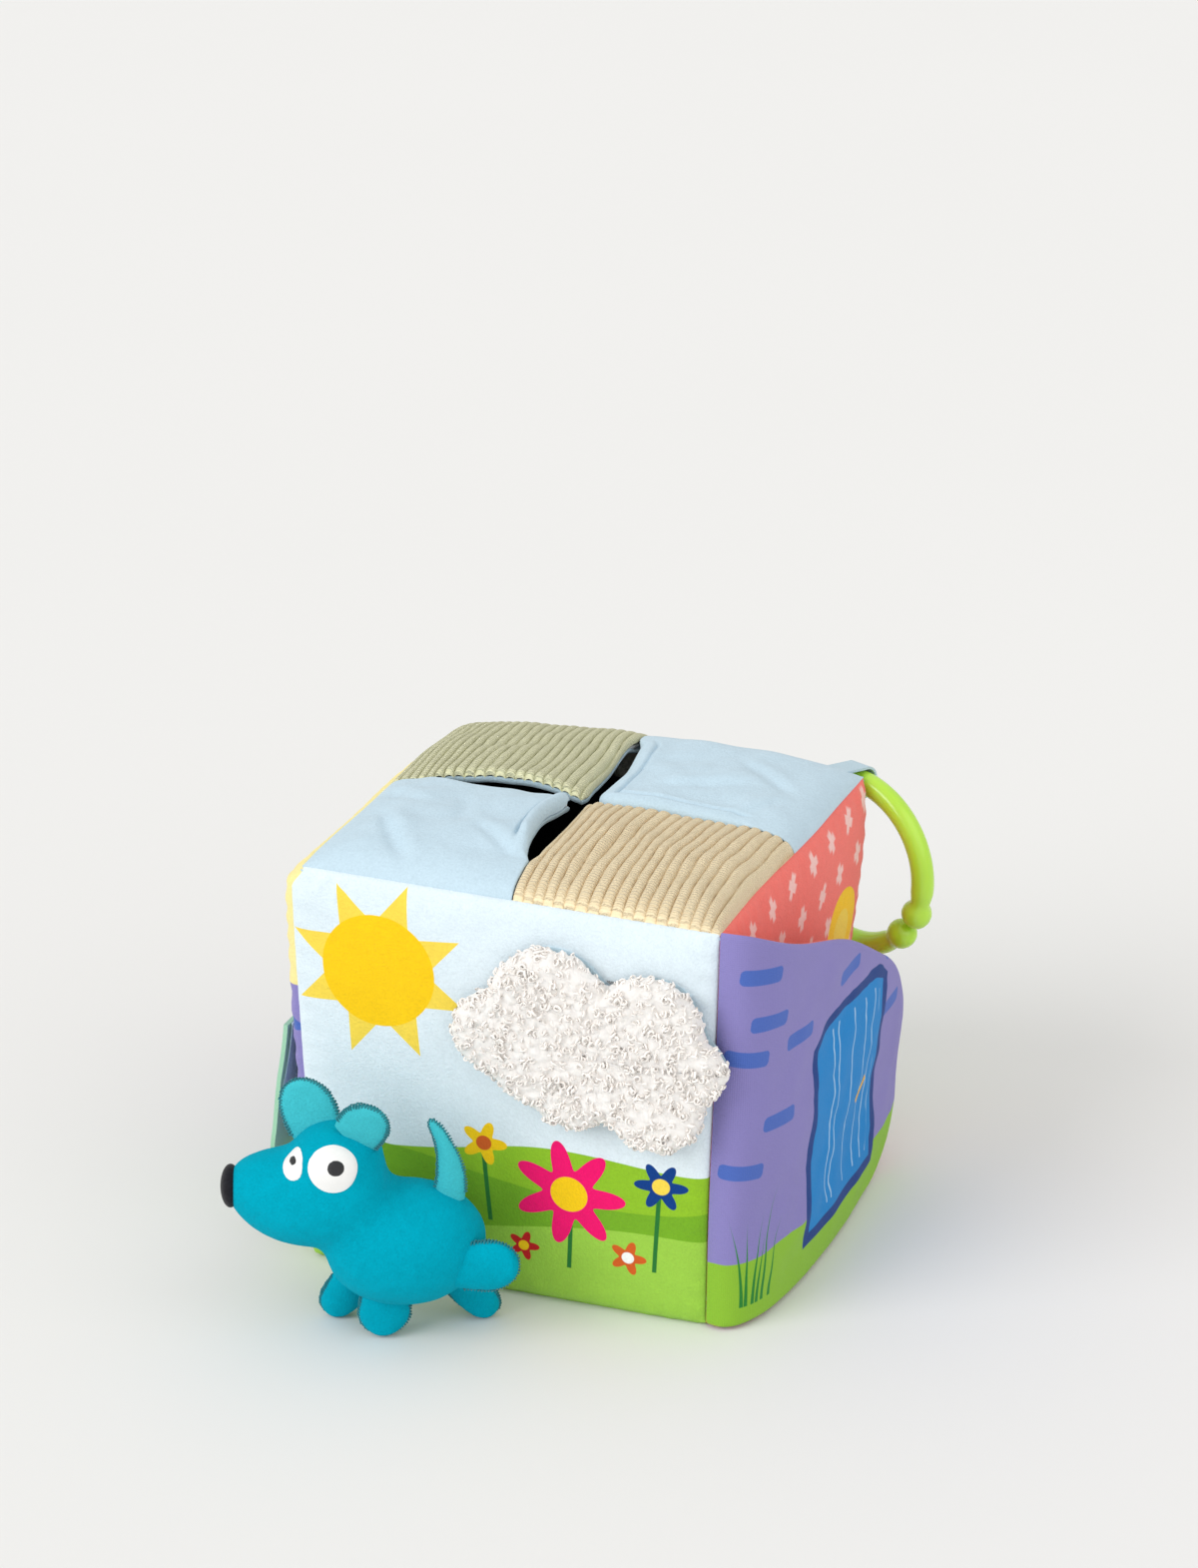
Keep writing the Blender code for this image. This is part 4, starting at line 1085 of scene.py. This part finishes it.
def stitch_tree():
    """Stitches along a line: each bends over the cloth from one side of its place to the other."""
    tree = bpy.data.node_groups.new("stitches", "GeometryNodeTree")
    face = tree.interface
    face.new_socket("Geometry", in_out="INPUT", socket_type="NodeSocketGeometry")
    for name, kind in (("Bend", "NodeSocketFloat"), ("Sweep", "NodeSocketFloat"), ("Thread", "NodeSocketFloat"),
                       ("Seed", "NodeSocketInt"), ("Material", "NodeSocketMaterial")):
        face.new_socket(name, in_out="INPUT", socket_type=kind)
    face.new_socket("Geometry", in_out="OUTPUT", socket_type="NodeSocketGeometry")

    def node(kind, settings=(), **sockets):
        made = tree.nodes.new(kind)
        for key, value in dict(settings).items():
            setattr(made, key, value)
        for key, value in sockets.items():
            socket = made.inputs[key.replace("_", " ")]
            if isinstance(value, bpy.types.NodeSocket):
                tree.links.new(value, socket)
            else:
                socket.default_value = value
        return made

    given = node("NodeGroupInput").outputs
    half = node("ShaderNodeMath", {"operation": "MULTIPLY"})
    tree.links.new(given["Sweep"], half.inputs[0])
    half.inputs[1].default_value = -0.5
    arc = node("GeometryNodeCurveArc", Resolution=6, Radius=given["Bend"], Start_Angle=half.outputs[0],
               Sweep_Angle=given["Sweep"])
    thread = node("GeometryNodeCurvePrimitiveCircle", Resolution=5, Radius=given["Thread"])
    stitch = node("GeometryNodeCurveToMesh", Curve=arc.outputs[0], Profile_Curve=thread.outputs[0],
                  Fill_Caps=True)
    outward = node("GeometryNodeInputNamedAttribute", {"data_type": "FLOAT_VECTOR"}, Name="outward")
    along = node("GeometryNodeInputNamedAttribute", {"data_type": "FLOAT_VECTOR"}, Name="along")
    facing = node("FunctionNodeAxesToRotation", {"primary_axis": "X", "secondary_axis": "Z"},
                  Primary_Axis=outward.outputs[0], Secondary_Axis=along.outputs[0])
    uneven = node("FunctionNodeRandomValue", {"data_type": "FLOAT"}, Seed=given["Seed"])
    uneven.inputs[2].default_value, uneven.inputs[3].default_value = 0.86, 1.12
    sewn = node("GeometryNodeInstanceOnPoints", Points=given["Geometry"], Instance=stitch.outputs[0],
                Rotation=facing.outputs[0], Scale=uneven.outputs[1])
    real = node("GeometryNodeRealizeInstances", Geometry=sewn.outputs[0])
    dressed = node("GeometryNodeSetMaterial", Geometry=real.outputs[0], Material=given["Material"])
    tree.links.new(dressed.outputs[0], node("NodeGroupOutput").inputs[0])
    return tree


stitching = stitch_tree()


def thread_material(name, colour):
    material, shader, (place, _) = new_material(name, 0.7, Sheen_Weight=0.2)
    ply = place.noise(0.0004, 2)
    dark = tuple(part * 0.7 for part in colour[:3]) + (1.0,)
    feed(shader, "Base Color", ply.dye(dark, colour))
    feed(shader, "Roughness", 0.6 + ply * 0.25)
    feed(shader, "Normal", raised(ply, 0.0001, 0.6))
    return material


def sew(name, places, outward, along, bend, sweep, thread, material, seed=3):
    """A row of stitches at the places given, each bending over the way outward from the cloth."""
    bed = bpy.data.meshes.new(name + "_places")
    bed.from_pydata([tuple(p) for p in places], [], [])
    for key, ways in (("outward", outward), ("along", along)):
        layer = bed.attributes.new(key, "FLOAT_VECTOR", "POINT")
        layer.data.foreach_set("vector", np.asarray(ways, np.float32).ravel())
    source = bpy.data.objects.new(name + "_places", bed)
    made = grown(source, name, stitching, bend=bend, sweep=sweep, thread=thread, seed=seed, material=material)
    bpy.data.objects.remove(source)
    return made


def yarn_material():
    """Brushed yarn of the fleece, a little warmer here and there."""
    material, shader, (place, _) = new_material("fleece_yarn", 0.95, Sheen_Weight=0.5, Specular_IOR_Level=0.05)
    fuzz = place.noise(0.0012, 2)
    feed(shader, "Base Color", fuzz.dye(srgb(255, 248, 242), srgb(255, 252, 248)))
    feed(shader, "Roughness", 0.90 + fuzz * 0.08)
    return material


curls = curl_tree()
cloud_curls = grown(cloud_fleece, "cloud_curls", curls, density=1.6e5, seed=7, curl_radius=0.0011,
                    yarn=0.00042, material=yarn_material())
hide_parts("cloud_top_fleece", "cloud_flap_fleece")
for piece in (cloud_fleece, cloud_curls):
    bend_at_tack(piece)
cloud_under = cloud_grid(cloud_back, 0.0008, 0.0016, 96, 14)
cloud_lining = cloth_sheet("cloud_lining", cloud_under, 0.0008, backing_velour, (0, -1, 0))
welded(cloud_lining)
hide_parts("cloud_top_backing", "cloud_flap_backing")
bend_at_tack(cloud_lining)

front_cover = bpy.data.objects["front_wall_cover"]
tack_x = np.linspace(0.0400, 0.0452, 8)
tacks = np.array([front_cover.ray_cast((x, -0.2, 0.1292), (0, 1, 0))[1][:] for x in tack_x])
tack_out, tack_along = np.tile((0.0, -1.0, 0.0), (8, 1)), np.tile((0.25, 0.0, 1.0), (8, 1))
grey_thread = thread_material("grey_thread", srgb(140, 144, 146))
tack_stitches = sew("cloud_tack_stitches", tacks, tack_out, tack_along,
                    0.0008, 3.6, 0.00024, grey_thread, seed=5)
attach(tack_stitches, "block")


# Link ring: one bar of lime plastic bent round, its two ends swollen to knuckles that nearly meet.
# It hangs from a loop of ribbed tape that is sewn into the back-right corner.

ring_radius, ring_tube, ring_knuckle = 0.032, 0.0042, 0.0056
ring_slot_turn = math.radians(-33)
ring_centre = np.array([0.077328, 0.083967, 0.1095])
ring_across = np.array([0.913545, -0.406737, 0.0])
ring_outward = np.array([0.406737, 0.913545, 0.0])
upward = np.array([0.0, 0.0, 1.0])


def tube_faces(count, sides):
    """Faces between rings of points, one ring after another, and over both ends."""
    faces = [(r * sides + s, r * sides + (s + 1) % sides, (r + 1) * sides + (s + 1) % sides,
              (r + 1) * sides + s) for r in range(count - 1) for s in range(sides)]
    return faces + [tuple(range(sides))[::-1], tuple((count - 1) * sides + s for s in range(sides))]


def swept(name, centres, firsts, seconds, material, sides=20):
    """A closed skin over rings of points: each has a centre and two half widths with their directions."""
    turn = np.linspace(0, 2 * math.pi, sides, endpoint=False)
    cos, sin = np.cos(turn)[:, None], np.sin(turn)[:, None]
    rings = centres[:, None] + firsts[:, None] * cos + seconds[:, None] * sin
    obj = piece_from(name, rings.reshape(-1, 3), tube_faces(len(centres), sides), material, 60)
    return welded(obj, 0.000001)


def ring_material():
    material, shader, (place, _) = new_material("lime_plastic", 0.22, Coat_Weight=0.25, Coat_Roughness=0.12,
                                                Subsurface_Weight=0.35, Subsurface_Scale=0.004,
                                                Subsurface_Radius=(1.0, 1.0, 0.25))
    cloudy = place.noise(0.02, 1)
    feed(shader, "Base Color", cloudy.dye(srgb(170, 218, 40), srgb(190, 232, 80)))
    feed(shader, "Roughness", 0.18 + place.noise(0.003) * 0.12)
    feed(shader, "Normal", raised(place.noise(0.004, 1), 0.0001, 0.2))
    return material


slot_half = 0.0008 / ring_radius / 2
knuckle = ring_knuckle / ring_radius
span = np.linspace(ring_slot_turn + slot_half, ring_slot_turn - slot_half + 2 * math.pi, 190)
from_end = np.minimum(span - span[0], span[-1] - span)
ball = np.sqrt(np.clip(1 - ((from_end - knuckle) / knuckle) ** 2, 0.0005, 1)) * ring_knuckle
neck = ring_tube * (0.86 + 0.14 * np.clip((from_end - 2 * knuckle) / 0.12, 0, 1))
thick = np.where(from_end < knuckle, ball, np.maximum(ball, neck))
outwards = ring_across * np.cos(span)[:, None] + upward * np.sin(span)[:, None]
ring = swept("lime_link_ring", ring_centre + outwards * ring_radius, outwards * thick[:, None],
             ring_outward * thick[:, None], ring_material())
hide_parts("link_ring")
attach(ring, "ring")

tape_root = np.array([0.072122, 0.072274, 0.1483])
tape_end = np.array([0.077328, 0.083967, 0.1415])
tape_turns = np.radians(np.linspace(90, -135, 26))


def tape_line(radius, rise):
    cos, sin = np.cos(tape_turns)[:, None], np.sin(tape_turns)[:, None]
    arc = tape_end + (ring_outward * cos + upward * sin) * radius
    there = np.linspace(tape_root + upward * rise, arc[0], 8)[:-1]
    return np.concatenate([there, arc, np.linspace(arc[-1], tape_root - upward * rise, 8)[1:]])


def ribbed_tape():
    """Grosgrain: fine ribs straight across the tape, with painted shade in the troughs between them."""
    material, shader, (_, flat) = new_material("ribbed_tape", 0.55, Sheen_Weight=0.15)
    u = flat.split()[0]
    ribs = (u * 2 * math.pi / 0.0011).sine() * 0.5 + 0.5
    thread = flat.noise(0.0005, 2)
    # Painted shade: the troughs between the ribs take the darker colour.
    feed(shader, "Base Color", (ribs * 0.6 + thread * 0.4).dye(srgb(165, 194, 208), srgb(200, 222, 232)))
    feed(shader, "Roughness", 0.42 + thread * 0.25)
    feed(shader, "Normal", raised(ribs + thread * 0.4, 0.00025, 0.8))
    return material


line = tape_line(ring_tube + 0.0018, 0.0012)
tape_points = line[:, None] + ring_across * (np.linspace(-0.5, 0.5, 9) * 0.009)[None, :, None]
run = np.concatenate([[0], np.cumsum(np.linalg.norm(np.diff(line, axis=0), axis=1))])
tape_uv = np.stack([np.tile(run[:, None], (1, 9)), np.tile(np.linspace(0, 0.009, 9), (len(run), 1))], -1)
loop = cloth_sheet("tape_loop", tape_points, 0.0009, ribbed_tape(), (0, 0, 1), tape_uv)
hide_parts("hanging_loop")
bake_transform(loop)


# Puppy: a stuffed velour puppy that fits through the slits, standing at the block's front-left corner.
# Its body and head are one sewn skin packed with fibre; its legs, ears and tail are flat pads of the same
# velour, whipped round the edge in a darker thread.

puppy_spot = np.array([-0.023, -0.110, 0.0])
puppy_turned = math.radians(19)
teal = srgb(0, 170, 196)


def in_stand(points):
    """From the puppy's own places, its head to -X and its middle over zero, to where it stands."""
    points = np.asarray(points, float)
    cosine, sine = math.cos(puppy_turned), math.sin(puppy_turned)
    x, y, z = points[..., 0], points[..., 1], points[..., 2]
    return np.stack([x * cosine - y * sine, x * sine + y * cosine, z], -1) + puppy_spot


def teal_plush(name, colour):
    material, shader, (place, _) = new_material(name, Sheen_Weight=0.10, Sheen_Roughness=0.40,
                                                Sheen_Tint=srgb(90, 215, 230), Specular_IOR_Level=0.03)
    nap(shader, place, plain(place, colour), deep=0.0006, shade=0.22, grain=0.00065)
    return material


plush = teal_plush("teal_plush", teal)
pale_plush = teal_plush("pale_teal_plush", srgb(70, 198, 210))

body_rings = ((-0.0270, 0.0370, 0.0080, 0.0080), (-0.0235, 0.0365, 0.0140, 0.0150),
              (-0.0160, 0.0358, 0.0190, 0.0200), (-0.0060, 0.0350, 0.0208, 0.0224),
              (0.0040, 0.0350, 0.0206, 0.0224), (0.0120, 0.0352, 0.0188, 0.0206),
              (0.0190, 0.0355, 0.0150, 0.0168), (0.0240, 0.0358, 0.0102, 0.0118),
              (0.0275, 0.0360, 0.0052, 0.0060))
head_rings = ((-0.0060, 0.0540, 0.0110, 0.0110), (-0.0100, 0.0542, 0.0150, 0.0160),
              (-0.0170, 0.0540, 0.0180, 0.0186), (-0.0260, 0.0535, 0.0186, 0.0190),
              (-0.0350, 0.0528, 0.0176, 0.0180), (-0.0430, 0.0530, 0.0152, 0.0166),
              (-0.0500, 0.0540, 0.0122, 0.0142), (-0.0550, 0.0550, 0.0092, 0.0110),
              (-0.0590, 0.0558, 0.0055, 0.0068))
crown_rings = ((-0.0070, 0.0660, 0.0060, 0.0060), (-0.0100, 0.0655, 0.0110, 0.0110),
               (-0.0160, 0.0650, 0.0152, 0.0146), (-0.0240, 0.0648, 0.0166, 0.0158),
               (-0.0310, 0.0645, 0.0152, 0.0142), (-0.0360, 0.0640, 0.0118, 0.0106),
               (-0.0385, 0.0632, 0.0070, 0.0062))


def stuffed(name, rings):
    """A stuffed form along the puppy's length, from the middle and half widths at each station."""
    table = np.array(rings)
    fine = np.linspace(0, len(table) - 1, 8 * len(table))
    x, z, wide, tall = (np.interp(fine, np.arange(len(table)), column) for column in table.T)
    flat = np.zeros_like(x)
    centres = in_stand(np.stack([x, flat, z], -1))
    firsts = in_stand(np.stack([flat, wide, flat], -1)) - puppy_spot
    seconds = np.stack([flat, flat, tall], -1)
    return swept(name, centres, firsts, seconds, plush, 24)


parts = [stuffed("puppy_body_form", body_rings), stuffed("puppy_head_form", head_rings)]
parts.append(stuffed("puppy_crown_form", crown_rings))
neck_rings = ((-0.0080, 0.040, 0.0165, 0.015), (-0.0120, 0.043, 0.0180, 0.017),
              (-0.0160, 0.046, 0.0175, 0.017))
parts.append(stuffed("puppy_neck_form", neck_rings))
merged = bmesh.new()
for part in parts:
    merged.from_mesh(part.data)
    bpy.data.objects.remove(part)
skin_mesh = bpy.data.meshes.new("puppy_skin")
merged.to_mesh(skin_mesh)
merged.free()
skin = bpy.data.objects.new("puppy_skin", skin_mesh)
skin.data.materials.append(plush)
bpy.context.scene.collection.objects.link(skin)
join = skin.modifiers.new("join", "REMESH")
join.mode, join.voxel_size, join.use_smooth_shade = "VOXEL", 0.0015, True
ease = skin.modifiers.new("ease", "SMOOTH")
ease.factor, ease.iterations = 0.5, 14
settled(skin)


def puffed(obj, cell, push, reach):
    """Blow the skin up over its filling as cloth, no point going farther than the reach."""
    cells = obj.modifiers.new("cells", "REMESH")
    cells.mode, cells.voxel_size = "VOXEL", cell
    settled(obj)
    before = np.empty(len(obj.data.vertices) * 3)
    obj.data.vertices.foreach_get("co", before)
    drape = obj.modifiers.new("drape", "CLOTH")
    drape.settings.quality = 6
    drape.settings.mass = 0.15
    drape.settings.tension_stiffness = drape.settings.compression_stiffness = 12
    drape.settings.shear_stiffness, drape.settings.bending_stiffness = 5, 0.4
    drape.settings.use_pressure, drape.settings.uniform_pressure_force = True, push
    drape.settings.effector_weights.gravity = 0
    drape.collision_settings.use_collision = False
    for step in range(1, 21):
        bpy.context.scene.frame_set(step)
    depsgraph = bpy.context.evaluated_depsgraph_get()
    after = np.empty_like(before)
    obj.evaluated_get(depsgraph).to_mesh().vertices.foreach_get("co", after)
    moved = (after - before).reshape(-1, 3)
    far = np.linalg.norm(moved, axis=1, keepdims=True)
    moved *= reach * np.tanh(far / reach) / np.maximum(far, 1e-9)
    obj.modifiers.clear()
    bpy.context.scene.frame_set(1)
    obj.data.vertices.foreach_set("co", before + moved.ravel())
    finer = obj.modifiers.new("finer", "SUBSURF")
    finer.levels = finer.render_levels = 1
    settled(obj)


puffed(skin, 0.0024, 4, 0.0012)
skin.data.materials.clear()
skin.data.materials.append(plush)
skin.data.shade_smooth()
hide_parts("puppy_body", "puppy_head")
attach(skin, "puppy")


teal_thread = thread_material("teal_thread", srgb(0, 128, 140))


def flat_limb(name, root, bend, tip, across, wide, thick, outline, material):
    """A flat stuffed pad along a bent line, and the whipping round its edge."""
    pitch = 0.00115
    root, bend, tip, across = (np.array(v, float) for v in (root, bend, tip, across))
    s = np.linspace(0, 1, 34) ** 0.8
    s = np.concatenate([s[:-6], np.linspace(s[-6], 1, 14)])
    b = s[:, None]
    centres = root * (1 - b) ** 2 + bend * 2 * b * (1 - b) + tip * b**2
    ways = unit((bend - root) * (1 - b) + (tip - bend) * b)
    through = unit(np.cross(ways, across))
    places, shares = zip(*outline)
    half = np.interp(s, places, shares) * wide / 2
    last = places[-1]
    start = outline[-2][0]
    cap = np.clip((s - start) / (last - start), 0, 1)
    half = np.where(s > start, shares[-2] * wide / 2 * np.sqrt(np.clip(1 - cap**2.2, 0, 1)), half)
    deep = thick / 2 * np.clip(half / (wide * 0.30), 0.22, 1) ** 0.6
    turn = np.linspace(0, 2 * math.pi, 28, endpoint=False)
    p = np.sign(np.cos(turn)) * np.abs(np.cos(turn)) ** 0.85
    q = np.sign(np.sin(turn)) * np.abs(np.sin(turn)) ** 1.15
    rings = (centres[:, None] + across * half[:, None, None] * p[:, None]
             + through[:, None] * deep[:, None, None] * q[:, None])
    pad = piece_from(name, in_stand(rings).reshape(-1, 3), tube_faces(len(s), len(turn)), material, 70)
    welded(pad, 0.000002)
    edge = np.concatenate([centres + across * half[:, None], (centres - across * half[:, None])[::-1]])
    edge = edge[np.concatenate([[True], np.linalg.norm(np.diff(edge, axis=0), axis=1) > 1e-6])]
    run = np.concatenate([[0], np.cumsum(np.linalg.norm(np.diff(edge, axis=0), axis=1))])
    stops = np.arange(pitch * 2.5, run[-1] - pitch * 2.5, pitch)
    spots = np.stack([np.interp(stops, run, edge[:, axis]) for axis in range(3)], -1)
    ahead = np.stack([np.interp(stops + 0.0003, run, edge[:, axis]) for axis in range(3)], -1)
    along = unit(ahead - spots)
    middle = np.interp(np.minimum(stops, run[-1] - stops), run, np.arange(len(run)))
    station = np.minimum(middle, len(s) - 1)
    flat_way = np.stack([np.interp(station, np.arange(len(s)), through[:, axis]) for axis in range(3)], -1)
    outward = unit(np.cross(along, flat_way))
    centre = centres.mean(0)
    outward *= np.sign(np.sum(outward * (spots - centre), -1, keepdims=True))
    slant = unit(along + 0.45 * flat_way)
    zero = puppy_spot
    rim = sew(name + "_whipping", in_stand(spots - outward * 0.00045), in_stand(outward) - zero,
              in_stand(slant) - zero, 0.00095, 3.9, 0.00030, teal_thread)
    for piece in (pad, rim):
        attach(piece, "puppy")
    return pad


paw = ((0.0, 0.84), (0.25, 0.94), (0.50, 1.0), (1.0, 0.0))
ear_cut = ((0.0, 0.92), (0.15, 0.98), (0.32, 1.0), (1.0, 0.0))
tail_cut = ((0.0, 1.0), (0.4, 0.78), (0.75, 0.46), (1.0, 0.0))
sideways, lifted = (1, 0, 0), (0, 0, 1)
legs = {
    "front_near": ((-0.0066, -0.0040, 0.0190), (-0.0080, -0.0026, 0.0006), sideways, 0.0176),
    "front_far": ((-0.0170, 0.0050, 0.0210), (-0.0248, 0.0110, 0.0006), sideways, 0.0166),
    "hind_far": ((0.0180, 0.0050, 0.0210), (0.0266, 0.0108, 0.0006), sideways, 0.0164),
    "hind_near": ((0.0170, -0.0095, 0.0305), (0.0390, -0.0100, 0.0316), lifted, 0.0188),
}
for place, (root, foot, across, wide) in legs.items():
    middle = tuple((a + b) / 2 for a, b in zip(root, foot))
    leg = flat_limb(f"puppy_{place}_paw", root, middle, foot, across, wide, 0.0082, paw, plush)
    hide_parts(f"puppy_{place}_leg")

ears = {
    "near": ((-0.0165, -0.0045, 0.0765), (-0.0120, -0.0075, 0.0845), (-0.0070, -0.0105, 0.0900),
             (0.76, 0, -0.65), 0.0172),
    "far": ((-0.0290, 0.0040, 0.0745), (-0.0325, 0.0070, 0.0840), (-0.0375, 0.0095, 0.0910),
            (0.90, 0, 0.44), 0.0186),
}
for place, (root, bend, tip, across, wide) in ears.items():
    ear = flat_limb(f"puppy_{place}_ear_pad", root, bend, tip, across, wide, 0.0038, ear_cut, pale_plush)
    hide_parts(f"puppy_{place}_ear")

tail = flat_limb("puppy_tail_pad", (0.0150, 0, 0.0515), (0.0185, 0, 0.0670), (0.0095, 0, 0.0815), sideways,
                 0.0110, 0.0050, tail_cut, pale_plush)
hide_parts("puppy_tail")


def knob(name, middle, reach, material):
    """A rounded lump at a place on the puppy, as far each way as its reach says."""
    bm = bmesh.new()
    bmesh.ops.create_uvsphere(bm, u_segments=40, v_segments=24, radius=1)
    points = np.array([v.co[:] for v in bm.verts])
    lumps = points * np.array(reach)
    for vert, point in zip(bm.verts, in_stand(lumps + np.array(middle))):
        vert.co = point
    bmesh.ops.recalc_face_normals(bm, faces=bm.faces)
    mesh = bpy.data.meshes.new(name)
    bm.to_mesh(mesh)
    bm.free()
    mesh.shade_smooth()
    obj = bpy.data.objects.new(name, mesh)
    mesh.materials.append(material)
    bpy.context.scene.collection.objects.link(obj)
    return obj


black_plush, black_shader, (nose_place, _) = new_material("black_plush", **velour_sockets)
nap(black_shader, nose_place, plain(nose_place, srgb(34, 34, 40)), shade=0.5)
nose = knob("puppy_nose_pad", (-0.0588, 0, 0.0560), (0.0034, 0.0068, 0.0076), black_plush)
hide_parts("puppy_nose")
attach(nose, "puppy")


def satin(name, colour):
    """Satin stitch: close threads side by side, a little glossy, with painted shade in the lines between them.
    """
    material, shader, (place, flat) = new_material(name, 0.5, Sheen_Weight=0.2)
    rows = (flat.split()[1] * 2 * math.pi / 0.0004).sine() * 0.5 + 0.5
    ply = place.noise(0.0005, 2)
    dark = tuple(part * 0.88 for part in colour[:3]) + (1.0,)
    # Painted shade: the lines between the threads take the darker colour.
    feed(shader, "Base Color", (rows * 0.5 + ply * 0.5).dye(dark, colour))
    feed(shader, "Roughness", 0.42 + ply * 0.25)
    feed(shader, "Normal", raised(rows + ply * 0.5, 0.00012, 0.7))
    return material


def patch_on(name, skin, spot, way, reach, lift, material):
    """A round patch laid on the puppy's skin at a spot, facing along a way, worked in satin stitch."""
    way = np.array(way, float) / np.linalg.norm(way)
    side = unit(np.cross(way, (0, 0, 1)))
    top = np.cross(side, way)
    turn = np.linspace(0, 2 * math.pi, 41)
    share = np.linspace(0.0, 1, 14)[:, None]
    flat = np.stack([share * np.cos(turn) * reach[0], share * np.sin(turn) * reach[1]], -1)
    start = np.array(spot) + flat[..., :1] * side + flat[..., 1:] * top
    world = in_stand(start)
    bulge = lift * np.sqrt(np.clip(1.04 - share**2, 0, 1)) + 0 * turn
    points = np.empty_like(world)
    for index in np.ndindex(world.shape[:2]):
        _, place, normal, _ = skin.closest_point_on_mesh(Vector(world[index]))
        points[index] = place + normal * bulge[index]
    patch = cloth_sheet(name, points, 0.0005, material, tuple(in_stand(way) - puppy_spot), flat, corner=80)
    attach(patch, "puppy")
    return patch


white_satin, black_satin = satin("white_satin", srgb(248, 248, 246)), satin("black_satin", srgb(24, 24, 28))
eyes = {
    "near": ((-0.0222, -0.0135, 0.0695), (-0.20, -1.0, 0.62), (0.0086, 0.0080), (0.0004, 0.0006), 0.0028),
    "far": ((-0.0352, -0.0075, 0.0680), (-0.35, -0.80, 0.60), (0.0044, 0.0056), (0.0002, 0.0010), 0.0017),
}
for place, (spot, way, reach, aside, pupil) in eyes.items():
    patch_on(f"puppy_{place}_eye_white", skin, spot, way, reach, 0.0007, white_satin)
    looking = (spot[0] + aside[0], spot[1], spot[2] + aside[1])
    patch_on(f"puppy_{place}_eye", skin, looking, way, (pupil * 1.12, pupil), 0.0012, black_satin)
